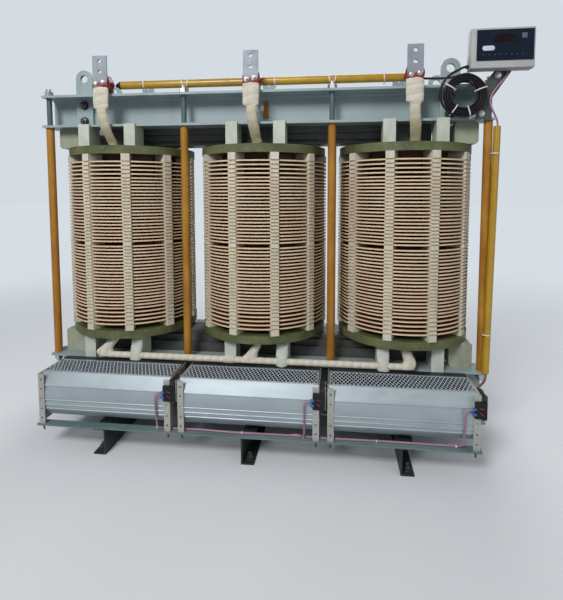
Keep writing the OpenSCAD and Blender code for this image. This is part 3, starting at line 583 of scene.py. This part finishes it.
def fanCables(side, word):
    lie = railHigh.z + pink["d"] / 2 + pink["lift"]
    r, ahead, top, y, frontY = pink["bend"], pink["ahead"], pink["tapZ"], pink["motorY"], pink["frontY"]
    arc = [math.radians(a) for a in (0, 22.5, 45, 67.5, 90)]
    for i, c in enumerate(fanCentres):
        x = c + pink["tapX"]
        drop, turn = x - ahead - r, (1 if i == 0 else -1)
        beside = railRun if i == 0 else railRun + pink["d"] + pink["gap"]
        tap = [(x, y, top)] + [(x - ahead - r * math.sin(a), y, top - r + r * math.cos(a)) for a in arc]
        tap += [(drop, y + dy, z) for dy, z in pink["fall"]]
        tap += [(drop + turn * r * (1 - math.cos(a)), frontY + (beside - frontY) * math.sin(a / 2) ** 2 * 2,
                 lie + r * (1 - math.sin(a))) for a in arc]
        tap += [(drop + turn * (r + pink["straight"]), beside, lie)]
        if i == 0:
            for k in range(1, pink["runSteps"] + 1):
                sway = pink["sway"] * math.sin(k * pink["swayTurn"])
                tap += [(x + pink["runFrom"] + pink["runStep"] * k, railRun + sway, lie)]
            tap += [(fanPitch + pink["runEnd"], railRun, lie)]
        cable("fanCable" + word + str(i + 1), smoothPath([(p[0], p[1] * side, p[2]) for p in tap]), pink["d"],
              "pinkWire", "cable_black", "loose", "limp")


fanCables(1, "Front")
fanCables(-1, "Back")

# feed from the riser's top up to the controller
feed = {"d": 0.006, "off": 0.0042, "riserIn": 0.011, "riser": ((0, 0, -0.02), (-0.001, -0.002, 0.015)),
        "plate": ((-0.058, -0.004, 0.055), (-0.060, 0, 0.085), (-0.048, 0, 0.110)),
        "case": ((-0.020, -0.020), (-0.010, 0.002))}
plateLow, plateHigh = (Vector(v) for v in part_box("controller_bracket"))
feedY = plateLow.y - feed["off"]
topX, topY, topZ = riserHigh.x - feed["riserIn"], riserHigh.y - feed["riserIn"], riserHigh.z
feedLine = [(topX + x, topY + y, topZ + z) for x, y, z in feed["riser"]]
feedLine += [(plateHigh.x + x, feedY + y, topZ + z) for x, y, z in feed["plate"]]
feedLine += [(plateHigh.x + x, feedY, caseLow.z + z) for x, z in feed["case"]]
cable("feedCable", smoothPath(feedLine), feed["d"], "pinkWire", "cable_black", "loose", "medium")

# two wires out of the riser's foot, past the clamp's edge and into the last fan's end plate
foot = {"d": 0.005, "apart": 0.006, "step": 0.004,
        "way": ((0.7579, -0.1775, 0.018), (0.7579, -0.1782, 0.002), (0.7566, -0.1815, -0.012),
                (0.7505, -0.1900, -0.0215), (0.7390, -0.2050, -0.0255), (0.7250, -0.2215, -0.0265),
                (0.7120, -0.2355, -0.0290), (0.7030, -0.2445, -0.0320), (0.6955, -0.2515, -0.0345))}
last = len(foot["way"]) - 1
for k, (name, tint) in enumerate((("motorWirePink", "pinkWire"), ("motorWireBrown", "brownWire"))):
    footLine = [(x + k * foot["apart"] * (1 - i / last), y - k * foot["apart"] * i / last, riserLow.z + z)
                for i, (x, y, z) in enumerate(foot["way"])]
    cable(name, smoothPath(footLine, foot["step"]), foot["d"], tint, "cable_black", "loose", "limp")
print("stage: cables")


# woven tape wound on the straps: a run of swollen sections
def wrapRun(sections):
    x, y, z, w, t = sections[0]
    obj = settle(added("plane", size=1), (w, t, 1), None, (x, y, z))
    editWhole()
    for (x0, y0, z0, w0, t0), (x1, y1, z1, w1, t1) in zip(sections, sections[1:]):
        bpy.ops.mesh.extrude_region_move(TRANSFORM_OT_translate={"value": (x1 - x0, y1 - y0, z1 - z0)})
        bpy.ops.transform.resize(value=(w1 / w0, t1 / t0, 1), center_override=(x1, y1, z1))
    bpy.ops.mesh.select_all(action="SELECT")
    bpy.ops.mesh.normals_make_consistent(inside=False)
    editDone()
    return modified(obj, "SUBSURF", levels=2, render_levels=2)


lumps = bpy.data.textures.new("tapeLumps", "CLOUDS")
lumps.noise_scale, lumps.noise_depth = 0.018, 2
# each row is one section of a lead: part of the way across, shifts in x and y, height, width and thickness
lead = {"y": -0.193, "from": (-0.534, -0.011, 0.515), "to": (-0.508, 0.004, 0.524), "lumps": 0.005,
        "rows": ((0, 0, 0, 1.220, 0.0558, 0.016), (0, 0, 0, 1.208, 0.0600, 0.020),
                 (0, 0, 0, 1.196, 0.0624, 0.022), (0, 0, 0, 1.174, 0.0600, 0.021),
                 (0, 0, 0, 1.150, 0.0600, 0.020), (0, 0, 0, 1.143, 0.0576, 0.019),
                 (0, 0.002, 0, 1.141, 0.04056, 0.018), (0, 0.002, 0, 1.135, 0.0390, 0.018),
                 (0.075, 0, 0, 1.126, 0.0390, 0.018), (0.25, 0, 0, 1.106, 0.0390, 0.018),
                 (0.40, 0, 0.001, 1.088, 0.04017, 0.019), (0.625, 0, 0.006, 1.066, 0.0390, 0.020),
                 (0.8125, 0, 0.018, 1.044, 0.03744, 0.020), (1, 0, 0.030, 1.027, 0.03705, 0.020),
                 (1, 0, 0.0305, 1.017, 0.0390, 0.022))}
runs = []
for x0, x1 in zip(lead["from"], lead["to"]):
    rows = [(x0 + (x1 - x0) * part + dx, lead["y"] + dy, z, w, t) for part, dx, dy, z, w, t in lead["rows"]]
    front = dressed(lumpy(wrapRun(rows), lead["lumps"]), "creamTape")
    runs += [front, farSide(front)]
assembled(runs, "wrappedLeads", "cream_tape", "taped_leads")
print("stage: wrapped leads")


# hexagon bolt with washer, pointing along +Z from its seat
def boltModel(acrossFlats, head, washer, end):
    seat = 0.0018
    under = stub(washer, seat, (0, 0, seat / 2), sides=18, edge=0.0004)
    hexHead = added("cylinder", vertices=6, radius=acrossFlats / 2 / math.cos(math.pi / 6), depth=head)
    rounded(settle(hexHead, None, None, (0, 0, seat + head / 2)), acrossFlats * 0.05, 2, 40)
    stem = stub(acrossFlats * 0.27, end, (0, 0, seat + head + end / 2), sides=12, edge=0.0012)
    return joined([under, hexHead, stem])


def boltsAt(name, size, mat, slot, places):
    model = dressed(boltModel(*size), mat)
    out = [copyOf(model, Matrix.Translation(at) @ facing(way)) for at, way in places]
    bpy.data.objects.remove(model)
    assembled(out, name, slot)


# sizes of bolts: across flats, head, washer radius and the end that stands out
lugBolts = {"size": (0.022, 0.011, 0.016, 0.007), "x": 0.642, "y": 0.112, "z": (1.172, 1.115)}
boltsAt("lugBolts", lugBolts["size"], "darkBolt", "zinc_steel",
        [((sx * lugBolts["x"], sy * lugBolts["y"], z), (0, sy, 0))
         for sx in (-1, 1) for sy in (-1, 1) for z in lugBolts["z"]])
# red wrap and two bolts where each bar is held on its insulator
hold = {"size": (0.012, 0.007, 0.0085, 0.005), "y": 0.193, "wrap": (0.0545, 0.0125, 0.018), "edge": 0.003,
        "wrapZ": 1.223, "lumps": 0.003, "boltZ": 1.227, "boltOut": 0.0068, "apart": 0.013, "slant": 0.002}
wraps = []
for x in lead["from"]:
    for side in (-1, 1):
        band = slab(hold["wrap"], (x, side * hold["y"], hold["wrapZ"]), hold["edge"], 3)
        modified(band, "SUBSURF", levels=1, render_levels=1)
        wraps.append(dressed(lumpy(band, hold["lumps"]), "redTape"))
assembled(wraps, "redWraps", "red_resin")
boltsAt("terminalBolts", hold["size"], "zincSteel", "zinc_steel",
        [((x + s * hold["apart"], side * (hold["y"] + hold["boltOut"]), hold["boltZ"] + s * hold["slant"]),
          (0, side, 0)) for x in lead["from"] for side in (-1, 1) for s in (-1, 1)])
bracketBolts = {"size": (0.013, 0.006, 0.010, 0.003),
                "at": ((0.770, -0.175, 1.222), (0.724, -0.175, 1.104), (0.724, -0.175, 1.140))}
boltsAt("bracketBolts", bracketBolts["size"], "zincSteel", "zinc_steel",
        [(at, (0, -1, 0)) for at in bracketBolts["at"]])
railBolts = {"size": (0.010, 0.006, 0.0085, 0.012), "x": 0.215, "y": 0.3315}
boltsAt("railBolts", railBolts["size"], "darkBolt", "black_plastic",
        [((c + s * railBolts["x"], sy * railBolts["y"], railLow.z), (0, 0, -1))
         for c in fanCentres for s in (-1, 1) for sy in (-1, 1)])
floorBolts = {"size": (0.019, 0.011, 0.015, 0.010), "x": (-0.495, 0.0025, 0.495), "y": 0.312, "z": 0.005}
boltsAt("floorBolts", floorBolts["size"], "darkBolt", "dark_paint",
        [((x, sy * floorBolts["y"], floorBolts["z"]), (0, 0, 1)) for x in floorBolts["x"] for sy in (-1, 1)])

# clamping bolt of the yoke on its ochre board, front and back
yokeBolt = {"size": (0.024, 0.013, 0.018, 0.010), "at": (0.006, 0.100, 1.150),
            "pad": (0.016, 0.006, 0.056), "padAt": (0.026, 0.103, 1.144), "edge": 0.0012}
model = dressed(boltModel(*yokeBolt["size"]), "zincSteel")
pads = []
for side in (-1, 1):
    x, y, z = yokeBolt["padAt"]
    pads.append(dressed(slab(yokeBolt["pad"], (x, side * y, z), yokeBolt["edge"]), "ochreSleeve"))
    x, y, z = yokeBolt["at"]
    pads.append(copyOf(model, Matrix.Translation((x, side * y, z)) @ facing((0, side, 0))))
bpy.data.objects.remove(model)
assembled(pads, "yokeBolts", "ochre_tube")
print("stage: bolts")


# fan grille: a diamond net of stretched sheet in a flat rim, with a dark strip along the back
net = {"wide": 0.442, "cell": 0.0118, "stretch": (0.75, 1.56, 1), "wire": 0.0026, "flat": 0.4, "sink": 0.0008,
       "lap": 0.005, "rim": 0.006, "sheet": 0.003, "edge": 0.0006, "back": 0.030, "backGap": 0.001}


def fanNet():
    low, high = (Vector(v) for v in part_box("fan_grilles_front"))
    wide, lap, sheet = net["wide"], net["lap"], net["sheet"]
    backY = high.y - net["back"]
    depth, midY, sheetZ = backY - low.y, (backY + low.y) / 2, high.z - sheet / 2
    count = int((wide + depth) / net["cell"])
    parts = []
    for c in fanCentres:
        grid = added("grid", x_subdivisions=count, y_subdivisions=count, size=count * net["cell"])
        settle(grid, None, (0, 0, math.pi / 4))
        settle(grid, net["stretch"], None, (c, midY, 0))
        cuts = (((c - wide / 2 + lap, 0, 0), (-1, 0, 0)), ((c + wide / 2 - lap, 0, 0), (1, 0, 0)),
                ((0, low.y + lap, 0), (0, -1, 0)), ((0, backY - net["backGap"], 0), (0, 1, 0)))
        for point, normal in cuts:
            editWhole()
            bpy.ops.mesh.bisect(plane_co=point, plane_no=normal, clear_outer=True)
        editDone()
        modified(grid, "WIREFRAME", thickness=net["wire"], use_even_offset=False, use_boundary=False)
        settle(grid, (1, 1, net["flat"]), None, (0, 0, high.z - net["sink"]))
        parts.append(dressed(grid, "fanNet"))
        strip = slab((wide, net["back"] - net["backGap"], sheet), (c, high.y - net["back"] / 2, sheetZ),
                     net["edge"], 1)
        parts.append(dressed(strip, "footPaint"))
        rim = settle(added("plane", size=1), (wide, depth, 1), None, (c, midY, sheetZ))
        editWhole()
        bpy.ops.mesh.inset(thickness=net["rim"])
        bpy.ops.mesh.delete(type="FACE")
        editDone()
        modified(rim, "SOLIDIFY", thickness=sheet, offset=0)
        parts.append(dressed(rounded(rim, net["edge"], 1), "fanAluminium"))
    return parts


front = assembled(fanNet(), "fanNetsFront", "fan_aluminium", "fan_grilles_front")
assembled([farSide(front)], "fanNetsBack", "fan_aluminium", "fan_grilles_back")
print("stage: fan nets", len(front.data.polygons))

# fan motor: pole sheets, bobbin, bearing cap, straps, and a terminal block with sleeves and wires;
# round pieces as radius and length
motor = {"x": 0.225, "y": (-0.344, -0.276), "z": (0.188, 0.260), "sheets": 6, "sheet": 0.0021, "sheetX": 0.0018,
         "sheetPitch": 0.0025, "short": 0.96, "bobbin": (0.024, 0.018), "bobbinX": 0.010, "cap": (0.0125, 0.022),
         "capX": 0.0115, "strap": (0.003, 0.008), "strapX": 0.0185, "strapY": 0.020,
         "block": (0.034, 0.010, 0.050), "blockAt": (-0.003, -0.001, 0.033), "sleeve": (0.0045, 0.012),
         "sleeveAt": (-0.021, -0.003), "sleeveZ": (0.020, 0.036), "wire": (0.0014, 0.013),
         "wireAt": (-0.001, -0.0052, 0.003), "wireTurn": (0.70, 0.22)}


def fanMotor(c):
    x, (y0, y1), (z0, z1) = c + motor["x"], motor["y"], motor["z"]
    midY, midZ, deep, high = (y0 + y1) / 2, (z0 + z1) / 2, y1 - y0, z1 - z0
    parts = []
    for i in range(motor["sheets"]):
        part = 1.0 if i % 2 else motor["short"]
        at = (x + motor["sheetX"] + motor["sheetPitch"] * i, midY, midZ)
        parts.append(dressed(slab((motor["sheet"], deep * part, high * part), at, 0.0006, 1), "darkBolt"))
    bobbin = stub(*motor["bobbin"], (x + motor["bobbinX"], midY, midZ), "X", 28, 0.003)
    cap = stub(*motor["cap"], (x + motor["capX"], midY, midZ), "X", 24, 0.002)
    parts += [dressed(bobbin, "blackPlastic"), dressed(cap, "fanZinc")]
    for s in (-1, 1):
        strap = slab((*motor["strap"], high), (x + motor["strapX"], midY + s * motor["strapY"], midZ), 0.001)
        parts.append(dressed(strap, "fanZinc"))
    dx, dy, dz = motor["blockAt"]
    parts.append(dressed(slab(motor["block"], (x + dx, y0 + dy, z0 + dz), 0.0015), "blackPlastic"))
    for up, turn in zip(motor["sleeveZ"], motor["wireTurn"]):
        dx, dy = motor["sleeveAt"]
        sleeve = stub(*motor["sleeve"], (x + dx, y0 + dy, z0 + up), "X", 14, 0.001)
        dx, dy, dz = motor["wireAt"]
        wire = stub(*motor["wire"], (0, 0, 0), "X", 10, 0.0004)
        settle(wire, None, (0, turn, 0), (x + dx, y0 + dy, z0 + up + dz))
        parts += [dressed(sleeve, "blueSleeve"), dressed(wire, "redWire")]
    return parts


front = assembled([p for c in fanCentres for p in fanMotor(c)], "fanMotorsFront", "black_plastic", "fan_motors_front")
assembled([farSide(front)], "fanMotorsBack", "black_plastic", "fan_motors_back")
print("stage: fan motors")


# controller: rounded moulded case with a lid seam, gland and cover screws
shellParts = {"edge": 0.004, "lidY": 0.014, "seam": 0.0016, "seamY": 0.015, "proud": 0.0006, "gland": (0.0058, 0.009),
              "glandX": -0.005, "glandZ": 0.0115, "screw": (0.0034, 0.0022), "screwX": 0.012, "screwY": 0.0004,
              "screwZ": 0.010}
caseSize = caseHigh - caseLow
caseMid = (caseHigh + caseLow) / 2
shell = settle(added("cube", size=1), caseSize, None, caseMid)
editWhole()
bpy.ops.mesh.bisect(plane_co=(0, caseLow.y + shellParts["lidY"], 0), plane_no=(0, 1, 0))
editDone()
rounded(shell, shellParts["edge"], 3)
lid = slab((caseSize.x + shellParts["proud"], shellParts["seam"], caseSize.z + shellParts["proud"]),
           (caseMid.x, caseLow.y + shellParts["seamY"], caseMid.z), 0.0005, 1)
glandAt = (caseLow.x + shellParts["glandX"], caseMid.y, caseLow.z + shellParts["glandZ"])
gland = stub(*shellParts["gland"], glandAt, "X", 16, 0.0015)
shellPieces = [dressed(shell, "caseGrey"), dressed(lid, "seamGrey"), dressed(gland, "blackPlastic")]
for x in (caseLow.x + shellParts["screwX"], caseHigh.x - shellParts["screwX"]):
    for z in (caseLow.z + shellParts["screwZ"], caseHigh.z - shellParts["screwZ"]):
        screw = stub(*shellParts["screw"], (x, caseHigh.y + shellParts["screwY"], z), "Y", 14, 0.0007)
        shellPieces.append(dressed(screw, "zincSteel"))
assembled(shellPieces, "controllerShell", "case_grey", "controller_case")

# dark face sheet with a raised rim, a long key, a blank window, a plain patch and a row of lights
faceParts = {"edge": 0.0007, "rim": 0.003, "sink": 0.0008, "key": {"radius": 0.0075, "depth": 0.003},
             "keyEdge": 0.0009, "keyLong": 0.021, "keyAt": (0.023, 0, 0.035), "window": (0.062, 0.0016, 0.020),
             "windowAt": (-0.002, 0.0004, -0.026), "patch": (0.015, 0.0014, 0.015),
             "patchAt": (-0.028, 0.0004, -0.020), "light": (0.0022, 0.002), "lightAt": (0.020, 0.0002, 0.016),
             "lightPitch": 0.016, "lights": 8, "near": 0.0001}
panelLow, panelHigh = (Vector(v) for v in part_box("controller_panel"))
panelMid = (panelLow + panelHigh) / 2
face = settle(added("cube", size=1), panelHigh - panelLow, None, panelMid)
unpickMesh()
for p in face.data.polygons:
    p.select = p.normal.y < -0.9
bpy.ops.object.mode_set(mode="EDIT")
bpy.ops.mesh.inset(thickness=faceParts["rim"])
bpy.ops.transform.translate(value=(0, faceParts["sink"], 0))
editDone()
rounded(face, faceParts["edge"], 2)
key = settle(added("cylinder", vertices=28, **faceParts["key"]), None, (math.pi / 2, 0, 0), (0, 0, 0))
rounded(key, faceParts["keyEdge"], 2, 40)
unpickMesh()
for v in key.data.vertices:
    v.select = v.co.x > faceParts["near"]
for p in key.data.polygons:
    p.select = all(key.data.vertices[i].co.x > -faceParts["near"] for i in p.vertices)
bpy.ops.object.mode_set(mode="EDIT")
bpy.ops.mesh.select_mode(type="VERT")
bpy.ops.transform.translate(value=(faceParts["keyLong"], 0, 0))
editDone()
x, y, z = faceParts["keyAt"]
settle(key, None, None, (panelLow.x + x, panelLow.y + y, panelLow.z + z))
x, y, z = faceParts["windowAt"]
window = slab(faceParts["window"], (panelMid.x + x, panelLow.y + y, panelHigh.z + z), 0.0006)
x, y, z = faceParts["patchAt"]
patch = slab(faceParts["patch"], (panelHigh.x + x, panelLow.y + y, panelHigh.z + z), 0.0005)
facePieces = [dressed(face, "panelDark"), dressed(key, "keyPale"), dressed(window, "windowDim"),
              dressed(patch, "markGrey")]
x, y, z = faceParts["lightAt"]
for i in range(faceParts["lights"]):
    at = (panelLow.x + x + faceParts["lightPitch"] * i, panelLow.y + y, panelLow.z + z)
    facePieces.append(dressed(stub(*faceParts["light"], at, "Y", 14, 0.0005), "dimLight"))
assembled(facePieces, "controllerFace", "panel_dark", "controller_panel")
print("stage: controller")


# rubber bushes in the ends of the conduit and where the fan cable goes through the end plates
bush = {"eye": (0.0048, 0.006), "eyeX": (-0.251, -0.224, 0.224, 0.251), "eyeUp": 0.0051, "ring": (0.0128, 0.010),
        "ringOut": 0.0045, "nose": (0.0075, 0.012), "noseOut": 0.0135}
bushes = []
for side in (-1, 1):
    for x in bush["eyeX"]:
        eye = stub(*bush["eye"], (x, side * -railRun, railHigh.z + bush["eyeUp"]), "X", 14, 0.0012)
        bushes.append(dressed(eye, "blackPlastic"))
for x, s in ((tubeLow.x, -1), (tubeHigh.x, 1)):
    ring = stub(*bush["ring"], (x + s * bush["ringOut"], tubeY, tubeZ), "X", 20, 0.002)
    nose = stub(*bush["nose"], (x + s * bush["noseOut"], tubeY, tubeZ), "X", 16, 0.002)
    bushes += [dressed(ring, "blackPlastic"), dressed(nose, "blackPlastic")]
assembled(bushes, "cableBushes", "black_plastic")

# nylon tie: a thin band, its lock and a cut tail
nylon = {"wide": 0.004, "thin": 0.0036, "thick": 0.0013, "lock": (0.006, 0.0045, 1.3), "lockOut": 0.002,
         "tail": (0.016, 0.001, 0.8), "tailX": 0.009, "tailOut": 0.003}


def tie(at, along, radius, wide):
    band = added("cylinder", vertices=24, radius=radius, depth=wide, end_fill_type="NOTHING")
    modified(band, "SOLIDIFY", thickness=nylon["thick"], offset=1)
    x, y, part = nylon["lock"]
    lock = slab((x, y, wide * part), (0, -radius - nylon["lockOut"], 0), 0.0008, 1)
    x, y, part = nylon["tail"]
    tail = slab((x, y, wide * part), (nylon["tailX"], -radius - nylon["tailOut"], 0), 0.0003, 1)
    for p in (band, lock, tail):
        p.data.transform(Matrix.Translation(at) @ facing(along))
        dressed(p, "nylonWhite")
    return [band, lock, tail]


# crossed pairs at the saddles, single ones along conduit and riser, four round the coil, and the rails' own
tied = {"pairX": (-0.255, 0.255), "half": 0.010, "lean": 0.25, "pairR": 0.0145, "tubeX": (-0.405, 0.060, 0.425),
        "tubeLean": 0.05, "tubeR": 0.0140, "riserZ": (0.394, 0.98), "riserFoot": (0.7579, -0.1759),
        "riserWay": (0.0158, 0.0136, 0.80), "riserR": 0.0118, "coil": (235, 285, 20, 150), "coilR": 0.0175,
        "coilFlat": 0.56, "railX": (-0.300, -0.02, 0.175, 0.40, 0.635), "railUp": 0.0028, "railR": 0.0032}
ties = []
for x in tied["pairX"]:
    for s in (-1, 1):
        ties += tie((x + s * tied["half"], tubeY, tubeZ), (1, 0, -s * tied["lean"]), tied["pairR"], nylon["wide"])
for x in tied["tubeX"]:
    ties += tie((x, tubeY, tubeZ), (1, 0, tied["tubeLean"]), tied["tubeR"], nylon["wide"])
for z in tied["riserZ"]:
    (x, y), (dx, dy, dz) = tied["riserFoot"], tied["riserWay"]
    part = (z - riserLow.z) / dz
    ties += tie((x + dx * part, y + dy * part, z), tied["riserWay"], tied["riserR"], nylon["wide"])
for degrees in tied["coil"]:
    a = math.radians(degrees)
    at = onRing(degrees, (coilSlot(0)[0] + sensor["innerR"] - sensor["apart"]) / 2, 0)
    for band in tie(at, (-math.sin(a), 0, math.cos(a)), tied["coilR"], nylon["thin"]):
        band.data.transform(Matrix.Translation((0, coilMid.y, 0)) @ Matrix.Diagonal((1, tied["coilFlat"], 1, 1)))
        ties.append(band)
assembled(ties, "nylonTies", "comb")
railTies = []
for side in (-1, 1):
    for x in tied["railX"]:
        at = (x, side * -railRun, railHigh.z + tied["railUp"])
        railTies += tie(at, (1, 0, 0), tied["railR"], nylon["thin"])
assembled(railTies, "railTies", "comb")
print("stage: ties")

# lashings that hold the star bar on the bottom blocks: three go over block and bar, one is round the bar alone;
# each row is a height over the bar and the y of the front
lash = {"barHalf": 0.011, "x": (-0.430, 0.091, 0.430), "wide": 0.043, "backY": -0.179, "thinX": -0.091,
        "thinWide": 0.040, "thinR": 0.0128, "thinEdge": 0.003, "lumps": 0.004, "level": 0.4,
        "rows": ((0.0590, -0.1855), (0.0480, -0.1870), (0.0300, -0.1930), (0.0160, -0.2040), (0.0020, -0.2120),
                 (-0.0100, -0.2140), (-0.0128, -0.2135), (-0.0135, -0.2120))}
barMid = Vector(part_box("star_bar")[0]) + Vector((0, lash["barHalf"], lash["barHalf"]))
wraps = []
for x in lash["x"]:
    rows = [(x, (lash["backY"] + y) / 2, barMid.z + up, lash["wide"], lash["backY"] - y) for up, y in lash["rows"]]
    wraps.append(dressed(wrapRun(rows), "lashPale"))
# thicker winding where each branch leaves the bar, as rows of height over the bar, x and width
branch = {"thick": 0.028, "rise": 0.057, "backBy": 0.006, "rows": (
    ((-0.008, -0.545, 0.050), (0.000, -0.543, 0.070), (0.010, -0.546, 0.062), (0.020, -0.541, 0.048),
     (0.032, -0.531, 0.039), (0.045, -0.518, 0.036), (0.056, -0.508, 0.034)),
    ((-0.009, -0.026, 0.060), (-0.001, -0.026, 0.078), (0.009, -0.021, 0.060), (0.019, -0.015, 0.043),
     (0.032, -0.007, 0.037), (0.045, 0.001, 0.035), (0.056, 0.0075, 0.033)),
    ((-0.009, 0.506, 0.044), (-0.001, 0.508, 0.060), (0.010, 0.515, 0.049), (0.021, 0.517, 0.042),
     (0.034, 0.511, 0.039), (0.046, 0.506, 0.037), (0.057, 0.502, 0.036)))}
for way in branch["rows"]:
    rows = [(x, barMid.y + branch["backBy"] * max(0, up) / branch["rise"], barMid.z + up, w, branch["thick"])
            for up, x, w in way]
    wraps.append(dressed(wrapRun(rows), "starTape"))
band = added("cylinder", vertices=20, radius=lash["thinR"], depth=lash["thinWide"])
editWhole()
bpy.ops.mesh.bevel(offset=lash["thinEdge"], segments=2)
editDone()
settle(band, None, (0, math.pi / 2, 0), (lash["thinX"], barMid.y, barMid.z))
modified(band, "SUBSURF", levels=1, render_levels=1)
wraps.append(dressed(band, "lashTape"))
for band in wraps:
    lumpy(band, lash["lumps"], lash["level"])
assembled(wraps, "barLashings", "cream_tape")
print("stage: lashings")

# pale floor that fades into the backdrop
studio = {"light": (0.245, 0.27, 0.295), "seen": (0.66, 0.71, 0.76), "floor": 60, "fadeFrom": 1.3, "fadeOver": 2.6,
          "aim": (0, 0, 0.6)}
floor = added("plane", size=studio["floor"], location=(0, 0, 0))
floor.name = "floor"
ground = Finish("floorPale")
haze = ground.noise(1.4, 3.0, 0.5)
seenBy = ground.node("ShaderNodeLightPath", {}, {}, "Is Camera Ray")
glossBy = ground.node("ShaderNodeLightPath", {}, {}, "Is Glossy Ray")
show = (seenBy + glossBy).clamp()
gx, gy = ground.axis(0), ground.axis(1)
far = (((gx * gx + gy * gy) ** 0.5 - studio["fadeFrom"]) / studio["fadeOver"]).clamp()
far = far * far * (3 - 2 * far)
pale = ground.mix(haze, (0.80, 0.82, 0.84), (0.84, 0.85, 0.87))
ground.set(color=ground.mix(show, (0.30, 0.31, 0.32), ground.mix(far, pale, (0, 0, 0))), rough=0.8, spec=0.1)
ground.set(glow=ground.mix(far * show, (0, 0, 0), studio["seen"]), glowPower=1.0)
floor.data.materials.append(ground.mat)

world = bpy.data.worlds.new("studio")
world.use_nodes = True
bpy.context.scene.world = world
sky = world.node_tree
skyBack = sky.nodes["Background"]
path = sky.nodes.new("ShaderNodeLightPath")
seen = (Sock(sky, path.outputs["Is Camera Ray"]) + Sock(sky, path.outputs["Is Transmission Ray"])).clamp()
tone = sky.nodes.new("ShaderNodeMix")
tone.data_type = "RGBA"
sky.links.new(seen.out, tone.inputs[0])
tone.inputs[6].default_value = (*studio["light"], 1)
tone.inputs[7].default_value = (*studio["seen"], 1)
sky.links.new(tone.outputs[2], skyBack.inputs["Color"])
skyBack.inputs["Strength"].default_value = 1.0

# each lamp: place, power and width
lamps = {"key": ((-1.0, -3.3, 3.0), 102, 1.3), "fill": ((2.8, -2.4, 1.6), 14, 2.2),
         "back": ((0.4, 2.8, 2.8), 60, 2.4)}
for name, (at, power, wide) in lamps.items():
    lamp = bpy.data.objects.new(name, bpy.data.lights.new(name, "AREA"))
    bpy.context.collection.objects.link(lamp)
    lamp.location = at
    lamp.data.energy, lamp.data.size = power, wide
    lamp.rotation_euler = (Vector(studio["aim"]) - Vector(at)).to_track_quat("-Z", "Y").to_euler()
bpy.context.scene.view_settings.view_transform = "Standard"
print("stage: light")
